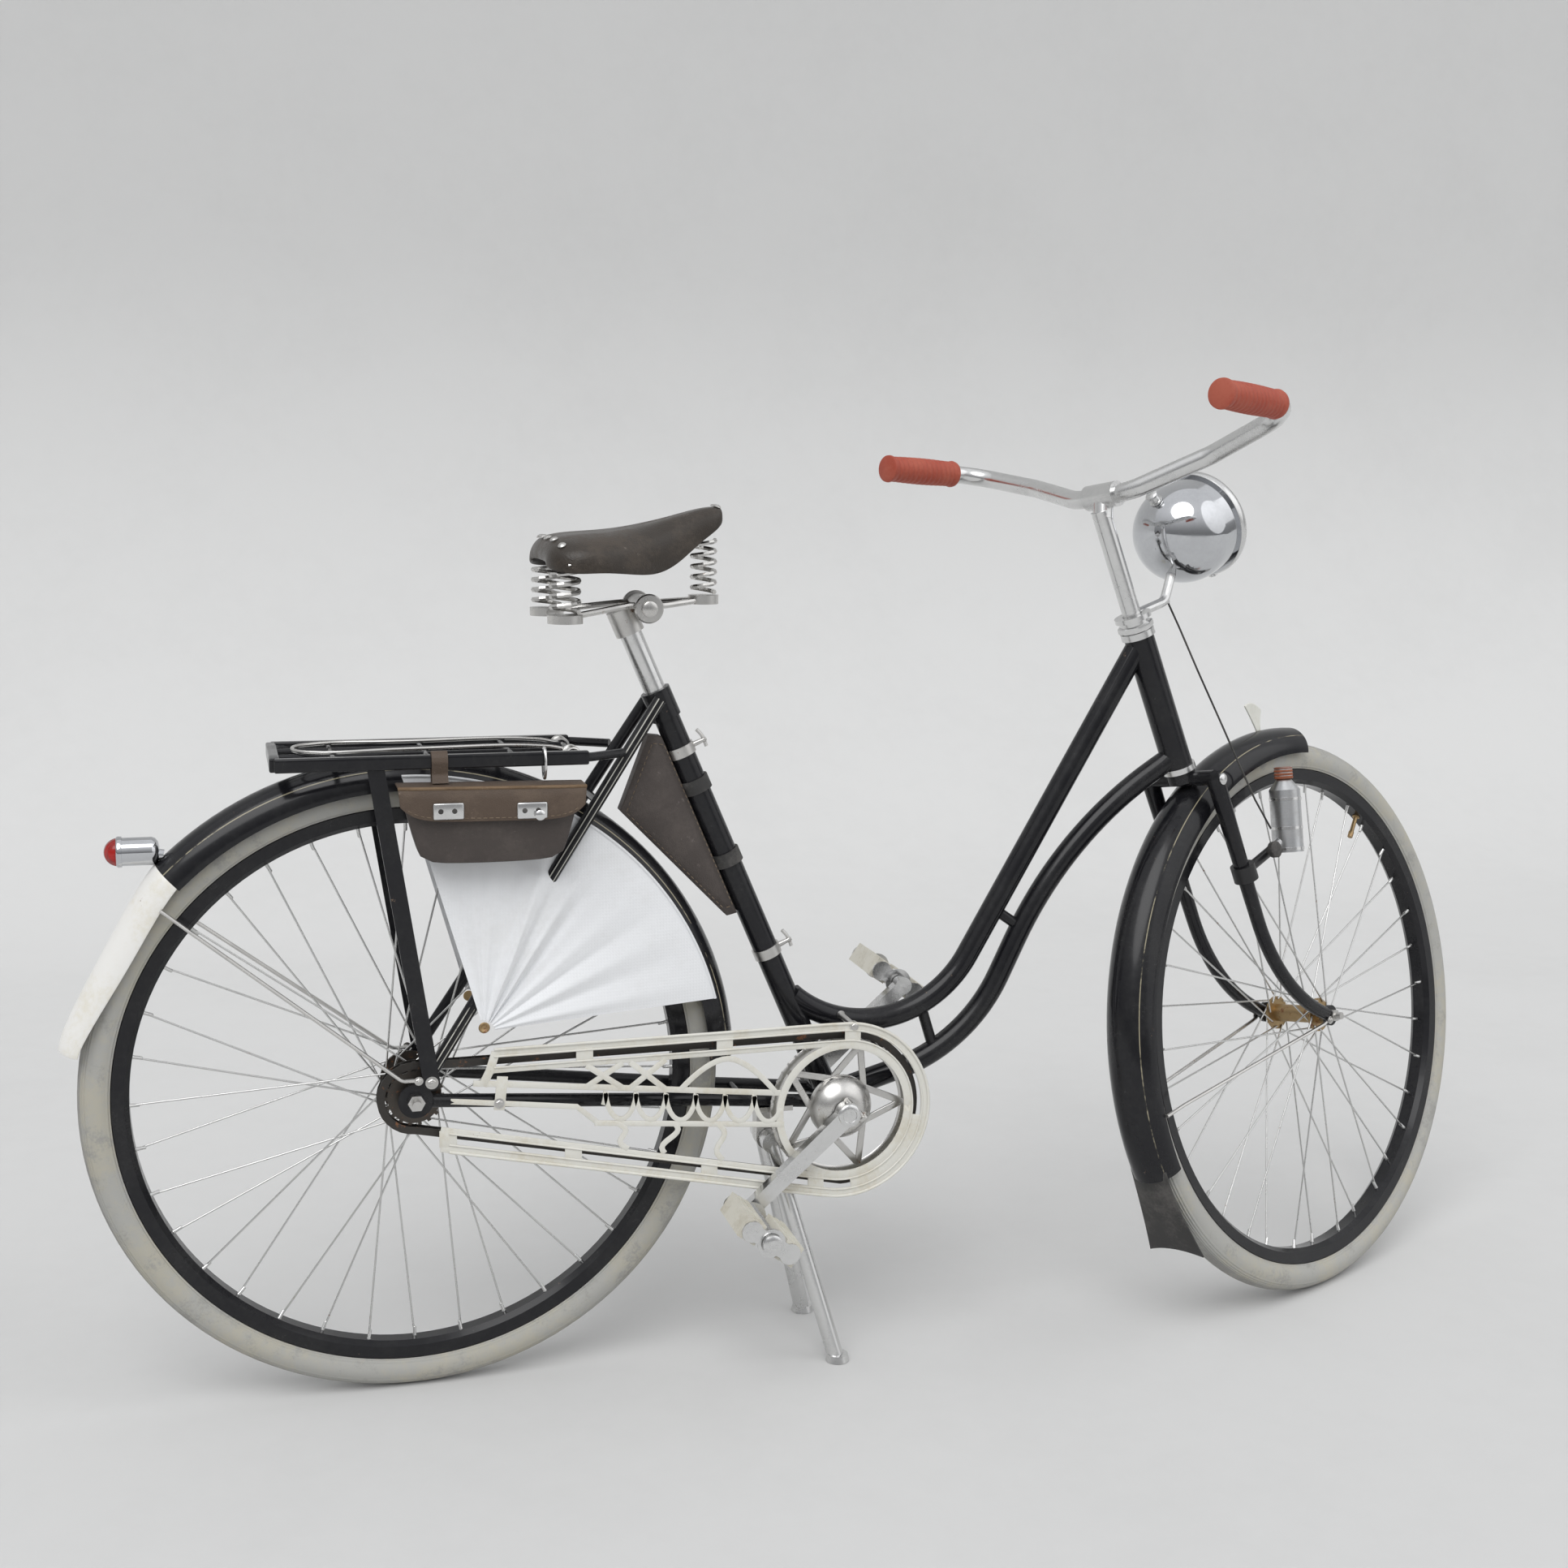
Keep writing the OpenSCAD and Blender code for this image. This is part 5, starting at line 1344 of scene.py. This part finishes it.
LAMP = Vector((0.142, 0, 0.639))
LAMP_RIM = [
    (0, 0.0622), (0.0, 0.0656), (0.0025, 0.0668), (0.0065, 0.0672),
    (0.0105, 0.0662), (0.0125, 0.064), (0.0128, 0.0615), (0.0105, 0.0603),
]
LAMP_SWITCH = [
    (0, 0.0085), (0.0015, 0.0085), (0.002, 0.006), (0.009, 0.0055),
    (0.0095, 0.0075), (0.0125, 0.0078), (0.014, 0.0055),
]
LAMP_SCREW = [(0, 0.005), (0.0012, 0.0054), (0.003, 0.0054), (0.0042, 0.0036)]
DYNAMO_LOW = Vector((0.090, -0.054, 0.228))
DYNAMO_HIGH = Vector((0.118, -0.054, 0.300))
DYNAMO_DIR = (DYNAMO_HIGH - DYNAMO_LOW).normalized()
ROLLER_FOOT = DYNAMO_HIGH + DYNAMO_DIR * 0.0138
ROLLER = [
    (0, 0.008), (0.0, 0.0113), (0.0025, 0.0117), (0.0035, 0.0108), (0.0055, 0.0117), (0.0075, 0.0108),
    (0.0095, 0.0117), (0.0115, 0.0108), (0.0135, 0.0115), (0.0146, 0.009), (0.0147, 0.004),
]
# Collars as (height up the bottle, radius)
COLLARS = [(0.004, 0.0197), (0.030, 0.0195), (0.066, 0.0197)]
DYNAMO_KNOB = [
    (0, 0.0045), (0.005, 0.0045), (0.006, 0.0098), (0.0125, 0.0102), (0.0145, 0.008), (0.015, 0.004),
]
HEADSET_NUT = [
    (0, 0.0182), (0.0, 0.0214), (0.0012, 0.0218), (0.0062, 0.0218), (0.0074, 0.0205), (0.0076, 0.0183),
]


def steering_fitting(name, rings, sides, direction, at, finish="chrome"):
    fitting(name, rings, sides, STEER @ along(direction, at), finish, "steering")


steering_fitting("headlamp_rim", LAMP_RIM, 64, (1, 0, 0), LAMP + Vector((0.0262, 0, 0)))
steering_fitting("lamp_switch", LAMP_SWITCH, 24, (-0.55, 0, 0.84), LAMP + Vector((-0.0339, 0, 0.0518)))
steering_fitting("lamp_screw", LAMP_SCREW, 20, (0, 0, -1), LAMP + Vector((0.033, 0, -0.0655)))
steering_fitting("dynamo_roller", ROLLER, 32, DYNAMO_DIR, ROLLER_FOOT, "rust_rubber")
collars = []
for height, radius in COLLARS:
    collar = turned("collar", [(-0.002, 0.0188), (-0.0018, radius), (0.0018, radius), (0.002, 0.0188)], 40)
    collars.append(place(collar, STEER @ along(DYNAMO_DIR, DYNAMO_LOW + DYNAMO_DIR * height)))
dynamo_bands = joined("dynamo_bands", collars)
finish_piece(dynamo_bands, "chrome", "steering")
steering_fitting("dynamo_knob", DYNAMO_KNOB, 28, (0, -1, 0.12), (0.046, -0.0585, 0.2505), "dark_rubber")
nut_place = STEER @ Matrix.Translation((0, 0, 0.5655))
fitting("headset_nut", HEADSET_NUT, 8, nut_place, "chrome", "steering", 30)


# Rack: a spring clip over the deck with its coils, a ring on the near rail, and the bars

CLIP_WIRE_R = 0.0021
CLIP_Z = RACK_Z + 0.0082
# Right half of the clip, from its foot to its far corner
CLIP_HALF = [
    (0.172, -0.026, RACK_Z + 0.004), (0.15, -0.028, CLIP_Z),
    (0.0, -0.03, CLIP_Z + 0.001), (-0.105, -0.028, CLIP_Z),
]
clip_points = [Vector(q) for q in CLIP_HALF]
clip_points.append(Vector((-0.118, 0.0, CLIP_Z)))
clip_points += [Vector((x, -y, z)) for x, y, z in reversed(CLIP_HALF)]
clip = wire("rack_spring_clip", clip_points, CLIP_WIRE_R, 12)
finish_piece(clip, "old_chrome")

COIL_TURNS = 5
COIL_STEPS = 10
COIL_R = 0.0075
COIL_X = 0.176
COIL_Y = 0.027
COIL_PITCH = 0.0048
coil_parts = []
for side in (-1, 1):
    coil = []
    for k in range(COIL_TURNS * COIL_STEPS + 1):
        a = 2 * math.pi * k / COIL_STEPS
        y = side * (COIL_Y + COIL_PITCH * k / COIL_STEPS)
        coil.append(Vector((COIL_X + COIL_R * math.cos(a), y, RACK_Z + COIL_R * math.sin(a))))
    coil_parts.append(wire("clip_coil", coil, CLIP_WIRE_R))
coils = joined("rack_clip_coils", coil_parts)
finish_piece(coils, "old_chrome")

TIE_RING = Vector((0.142, RAIL_Y, RACK_Z - 0.005))
ring_points = []
for k in range(12):
    a = k * math.pi / 6
    ring_points.append(TIE_RING + Vector((0, 0.0095 * math.cos(a), 0.0165 * math.sin(a))))
tie_ring = wire("rack_ring", ring_points, 0.0016, 8, True)
finish_piece(tie_ring, "chrome")

BAR_H = 0.015
BAR_W = 0.0108


def rack_bar(name, start, length, near, width):
    """A bar of the deck that starts at x = start and y = near."""
    bar = block(
        name,
        lambda u, w: (start + length * u, RACK_Z - BAR_H / 2 + BAR_H * w),
        3,
        lambda corner, u, v, w: Vector((corner[0], near + width * v, corner[1])),
    )
    outward(bar)
    round_edges(bar, 0.002, 3, 60)
    finish_piece(bar, "enamel")


for side, name in SIDES:
    rack_bar("rack_side_bar_" + name, -0.139, 0.329, -side * RAIL_Y - BAR_W / 2, BAR_W)
rack_bar("rack_end_bar", -0.1438, BAR_W, -0.064, 0.128)


# Mudguard tail: white, easing in towards the tyre and kicking out at its tip

TAIL_CENTRE = REAR_AXLE + 0.060 * heading(-math.pi / 4)
TAIL_RING_R = 0.399
TAIL_SECTION_R = 0.0306
TAIL_FROM = math.radians(135)
TAIL_SWEEP = math.radians(30)


def tail_point(u, v):
    a = TAIL_FROM + TAIL_SWEEP * v
    bow = math.pi * (u - 0.5)
    ease = -0.010 * math.sin(math.pi * min(1, v * 1.05)) ** 1.2 + 0.003 * v ** 6
    section = TAIL_SECTION_R * (1 - 0.1 * v)
    radius = TAIL_RING_R + ease + section * math.cos(bow) * (1 - 0.25 * v ** 3)
    return TAIL_CENTRE + Vector((radius * math.cos(a), section * math.sin(bow), radius * math.sin(a)))


tail = grid_sheet("white_tail", 25, 40, tail_point)
pressed(tail, 0.0016, 0.0005)
finish_piece(tail, "white", "frame", 45)
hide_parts("mudguard_tail")

TAIL_LAMP = Vector((-0.2805, 0, 0.6258))
LENS_RING = [(-0.003, 0.0149), (-0.0028, 0.0163), (0.001, 0.0166), (0.0026, 0.0158), (0.003, 0.0149)]
lens_ring = turned("tail_lamp_ring", LENS_RING, 40)
place(lens_ring, along((-1, 0, 0), TAIL_LAMP - Vector((0.0165, 0, 0))))
lamp_back = turned("tail_lamp_back", [(0, 0.0149), (0.003, 0.0138), (0.006, 0.0102), (0.0072, 0.005)], 40)
place(lamp_back, along((1, 0, 0), TAIL_LAMP + Vector((0.0168, 0, 0))))
lamp_trim = joined("tail_lamp_trim", [lens_ring, lamp_back])
finish_piece(lamp_trim, "mirror")


# Fin: a small pale fan standing on the front mudguard

FIN_TURN = math.radians(76)
FIN_FOOT_R = 0.3698
FIN_H = 0.037


def fin_point(u, v):
    s = 2 * u - 1
    out = heading(FIN_TURN)
    back = Vector((-out.z, 0, out.x))
    across = s * (0.0045 + 0.0125 * v ** 1.3) + 0.006 * v
    height = FIN_FOOT_R + FIN_H * v - 0.006 * v * s ** 2 + 0.005 * v * s
    cup = 0.002 * math.sin(math.pi * v) * (1 - s ** 2)
    return FRONT_AXLE @ (out * height + back * across + Vector((0, cup, 0)))


fin = grid_sheet("mudguard_fan", 14, 14, fin_point)
pressed(fin, 0.002, 0.0006)
finish_piece(fin, "plastic", "steering", 45)
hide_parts("mudguard_fin")


# Chain guard: rails, ties, a ring and a lattice, with rolled beads

BEAD_Y = -0.0631
BELT_STEPS = 24


def belt_path(y, front_r, rear_r, upper_from, lower_from):
    """From the upper rail's rear end round the chainring to the lower rail's rear end."""
    front = Vector((CRANK.x, 0, CRANK.z))
    back = Vector((0, 0, REAR_AXLE.z))
    run = back - front
    lie = math.atan2(run.z, run.x)
    spread = math.acos((front_r - rear_r) / run.length)
    upper = lie - spread
    lower = lie + spread - 2 * math.pi
    normal = heading(upper)
    a, b = back + normal * rear_r, front + normal * front_r
    points = [a.lerp(b, t) for t in ((upper_from - a.x) / (b.x - a.x), 0.35, 0.7)]
    for k in range(BELT_STEPS + 1):
        turn = upper + (lower - upper) * k / BELT_STEPS
        points.append(front + heading(turn) * front_r)
    normal = heading(lower)
    a, b = front + normal * front_r, back + normal * rear_r
    points += [a.lerp(b, t) for t in (0.3, 0.65, (lower_from - a.x) / (b.x - a.x))]
    return [Vector((q.x, y, q.z)) for q in points]


def guard_line(x, front_r, rear_r, side):
    """Height of a rail at x, above (side 1) or below (side -1) the line between the axles."""
    rear = REAR_AXLE.z + side * rear_r
    front = CRANK.z + side * front_r
    return rear + (front - rear) * x / CRANK.x


PLATE_Y = -0.062
PLATE_T = 0.0018
# Each strip is a hair thicker than the one before, so that no two faces lie in one plane
STRIP_STEP = 0.00001
# Rails as (radius round the crank, radius round the rear axle, width)
OUTER_RAIL = (0.0992, 0.0478, 0.0104)
INNER_RAIL = (0.0805, 0.0285, 0.0072)
UPPER_TIES = (0.185, 0.345, 0.497)
LOWER_TIES = (0.034, 0.172, 0.328, 0.455)
TIE_W = 0.019
GUARD_RING_R = 0.0775
LATTICE_W = 0.0064
SCROLL_WAVES = 6
# Beads as (radius round the crank, radius round the rear axle, thickness)
BEADS = [(0.1034, 0.0520, 0.0017), (0.0953, 0.0439, 0.0011), (0.0833, 0.0313, 0.0011)]


def plate_path(points):
    return [Vector((x, PLATE_Y, z)) for x, z in points]


def round_crank(radius, turns):
    return plate_path([(CRANK.x + radius * math.cos(a), CRANK.z + radius * math.sin(a)) for a in turns])


def openwork_guard():
    """Two rails that follow the chain, ties across them, a ring round the chainring and a lattice."""
    strips = []

    def add(points, width):
        strips.append(flat_strip("strip", points, width, PLATE_T + STRIP_STEP * len(strips)))

    for (front_r, rear_r, width), upper_from in ((OUTER_RAIL, 0.085), (INNER_RAIL, 0.082)):
        add(belt_path(PLATE_Y, front_r, rear_r, upper_from, 0.026), width)
    fill_r = (OUTER_RAIL[0] + INNER_RAIL[0]) / 2
    add(round_crank(fill_r, [math.radians(-8 - 76 * k / 16) for k in range(17)]), 0.0125)
    add(round_crank(GUARD_RING_R, [k * math.pi / 30 for k in range(61)]), 0.0085)
    for side, places in ((1, UPPER_TIES), (-1, LOWER_TIES)):
        for x in places:
            ends = [(x, guard_line(x, *OUTER_RAIL[:2], side)), (x, guard_line(x, *INNER_RAIL[:2], side))]
            add(plate_path(ends), TIE_W)

    def middle(x):
        return 0.366 - 0.109 * (x - 0.058)

    def low(x):
        return 0.3095 - 0.09 * (x - 0.195)

    add(plate_path([(x, middle(x)) for x in (0.062, 0.18, 0.30, 0.411)]), 0.0068)
    add(plate_path([(0.037, 0.347), (0.1, 0.3395), (0.176, 0.330), (0.2, 0.309)]), 0.0062)
    add(plate_path([(x, low(x)) for x in (0.196, 0.3, 0.416)]), LATTICE_W)
    add(plate_path([(0.087, 0.3995), (0.08, 0.378), (0.072, 0.362)]), 0.0095)
    for x in (0.187, 0.236):
        top = guard_line(x, *INNER_RAIL[:2], 1) - 0.003
        add(plate_path([(x, middle(x)), (x + 0.041, top)]), 0.0066)
        add(plate_path([(x + 0.041, middle(x + 0.041)), (x, top)]), 0.0066)
    arch = []
    for k in range(17):
        s = k / 8 - 1
        x = 0.35 + 0.056 * s
        arch.append((x, middle(x) + 0.0385 * (1 - abs(s) ** 1.7)))
    add(plate_path(arch), LATTICE_W)
    scroll = []
    for k in range(97):
        t = k / 96
        x = 0.2 + 0.206 * t
        centre = (middle(x) + low(x)) / 2
        wave = 2 * SCROLL_WAVES * math.pi * t
        scroll.append((x + 0.006 * math.cos(wave), centre + 0.0155 * math.sin(wave)))
    add(plate_path(scroll), 0.0056)
    for x, lean in ((0.222, 0.012), (0.288, -0.012), (0.338, 0.006)):
        foot = guard_line(x + lean, *INNER_RAIL[:2], -1) + 0.003
        bow = []
        for k in range(11):
            t = k / 10
            bow.append((x + lean * t + 0.006 * math.sin(2 * math.pi * t), low(x) + (foot - low(x)) * t))
        add(plate_path(bow), LATTICE_W)
    add(plate_path([(0.094, 0.371), (0.092, 0.352), (0.09, 0.333)]), 0.012)
    return joined("openwork_guard", strips)


guard_plate = openwork_guard()
finish_piece(guard_plate, "cream", "frame", 45)
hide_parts("chain_guard")

beads = []
for front_r, rear_r, radius in BEADS:
    beads.append(wire("bead", belt_path(BEAD_Y, front_r, rear_r, 0.085, 0.035), radius, 12))
guard_beads = joined("chain_guard_beads", beads)
finish_piece(guard_beads, "cream", "frame", 60)

GUARD_POST = [(0, 0.006), (0.002, 0.006), (0.003, 0.0038), (0.0455, 0.0036), (0.048, 0.005)]
guard_post = turned("guard_post", GUARD_POST, 20)
place(guard_post, along((0, 1, 0), (0.498, -0.0612, 0.4005)))
guard_clip = turned("guard_clip", [(0, 0.0062), (0.002, 0.0062), (0.0025, 0.0048), (0.0095, 0.0048)], 20)
place(guard_clip, along((0, 1, 0), (0.09, -0.0612, 0.341)))
guard_mounts = joined("guard_mounts", [guard_post, guard_clip])
finish_piece(guard_mounts, "old_chrome")


# Mud flap: a flared rubber tongue that carries on the front mudguard's curve

MUD_FLAP_FROM = math.radians(182.5)
MUD_FLAP_SWEEP = math.radians(18)
MUD_FLAP_R = 0.3665


def mud_flap_point(u, v):
    s = 2 * u - 1
    tongue = v * (1 - 0.07 * (1 - s * s))
    a = MUD_FLAP_FROM + MUD_FLAP_SWEEP * tongue
    half = 0.0255 + 0.0135 * v ** 1.8
    radius = MUD_FLAP_R - 0.0105 * s * s * (1 - v) ** 1.4 + 0.011 * v ** 3
    return FRONT_AXLE @ Vector((radius * math.cos(a), half * s, radius * math.sin(a)))


mud_flap = grid_sheet("mud_flap_tongue", 20, 20, mud_flap_point)
pressed(mud_flap, 0.0026, 0.0007)
finish_piece(mud_flap, "dark_rubber", "steering", 45)
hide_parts("mud_flap")


# Stage, light and camera

PHOTO_EYE = Vector((-0.1930, -2.1386, 1.0315))
PHOTO_YAW = math.radians(-16.21)
PHOTO_PITCH = math.radians(-9.10)
PHOTO_ROLL = math.radians(0.73)
PHOTO_FOCAL_PX = 2422.1
PHOTO_SIDE_PX = 1932


def photo_camera():
    right = Vector((math.cos(PHOTO_YAW), math.sin(PHOTO_YAW), 0))
    ahead = Vector((
        -math.sin(PHOTO_YAW) * math.cos(PHOTO_PITCH),
        math.cos(PHOTO_YAW) * math.cos(PHOTO_PITCH),
        math.sin(PHOTO_PITCH),
    ))
    up = right.cross(ahead)
    across = math.cos(PHOTO_ROLL) * right + math.sin(PHOTO_ROLL) * up
    upright = -math.sin(PHOTO_ROLL) * right + math.cos(PHOTO_ROLL) * up
    data = bpy.data.cameras.new("photo_camera")
    data.sensor_width = 36
    data.lens = 36 * PHOTO_FOCAL_PX / PHOTO_SIDE_PX
    data.clip_end = 60
    camera = bpy.data.objects.new("photo_camera", data)
    bpy.context.collection.objects.link(camera)
    turn = Matrix((across, upright, -ahead)).transposed().to_4x4()
    camera.matrix_world = Matrix.Translation(PHOTO_EYE) @ turn
    bpy.context.scene.camera = camera


def pale_floor():
    """A pale paper sweep: floor, a wide bend and a wall behind."""
    half_width, depth_near, bend_from, bend_r, wall_top = 30.0, -9.0, 1.9, 1.6, 7.0

    def point(u, v):
        x = half_width * (2 * u - 1)
        floor_l = bend_from - depth_near
        bend_l = bend_r * math.pi / 2
        along_l = v * (floor_l + bend_l + wall_top)
        if along_l < floor_l:
            return Vector((x, depth_near + along_l, -0.0005))
        if along_l < floor_l + bend_l:
            a = (along_l - floor_l) / bend_r
            return Vector((x, bend_from + bend_r * math.sin(a), bend_r - bend_r * math.cos(a) - 0.0005))
        return Vector((x, bend_from + bend_r, bend_r + along_l - floor_l - bend_l))

    sweep = grid_sheet("paper_sweep", 4, 160, point)
    only(sweep)
    bpy.ops.object.shade_smooth()
    f = Finish("pale_paper", (0.62, 0.62, 0.615), 0.95)
    f.patches(2.0, 0.4, 0.7, (0.6, 0.6, 0.595))
    sweep.data.materials.append(f.material)


def soft_sun(name, at, strength, softness):
    data = bpy.data.lights.new(name, "SUN")
    data.energy = strength
    data.angle = math.radians(softness)
    lamp = bpy.data.objects.new(name, data)
    lamp.rotation_euler = (-Vector(at)).to_track_quat("-Z", "Y").to_euler()
    bpy.context.collection.objects.link(lamp)


def soft_light():
    """A dim even room, brighter overhead, with a large soft key and a weaker fill."""
    world = bpy.data.worlds.new("studio")
    bpy.context.scene.world = world
    world.use_nodes = True
    tree = world.node_tree
    background = tree.nodes["Background"]
    background.inputs["Color"].default_value = (0.97, 0.98, 1.0, 1)
    split = tree.nodes.new("ShaderNodeSeparateXYZ")
    tree.links.new(tree.nodes.new("ShaderNodeTexCoord").outputs["Generated"], split.inputs[0])
    height = ramp(tree, split.outputs["Z"], -0.1, 0.8)
    strength = tree.nodes.new("ShaderNodeMapRange")
    tree.links.new(height, strength.inputs["Value"])
    strength.inputs["To Min"].default_value = 0.22
    strength.inputs["To Max"].default_value = 0.85
    rays = tree.nodes.new("ShaderNodeLightPath")
    seen = tree.nodes.new("ShaderNodeMix")
    tree.links.new(rays.outputs["Is Camera Ray"], seen.inputs[0])
    tree.links.new(strength.outputs["Result"], seen.inputs[2])
    seen.inputs[3].default_value = 0.66
    tree.links.new(seen.outputs[0], background.inputs["Strength"])
    soft_sun("key", (-0.5, -0.75, 1.1), 1.35, 45)
    soft_sun("fill", (0.9, -0.6, 0.6), 0.5, 60)


photo_camera()
pale_floor()
soft_light()
bpy.context.scene.view_settings.view_transform = "Standard"

deselect()
bpy.context.view_layer.update()
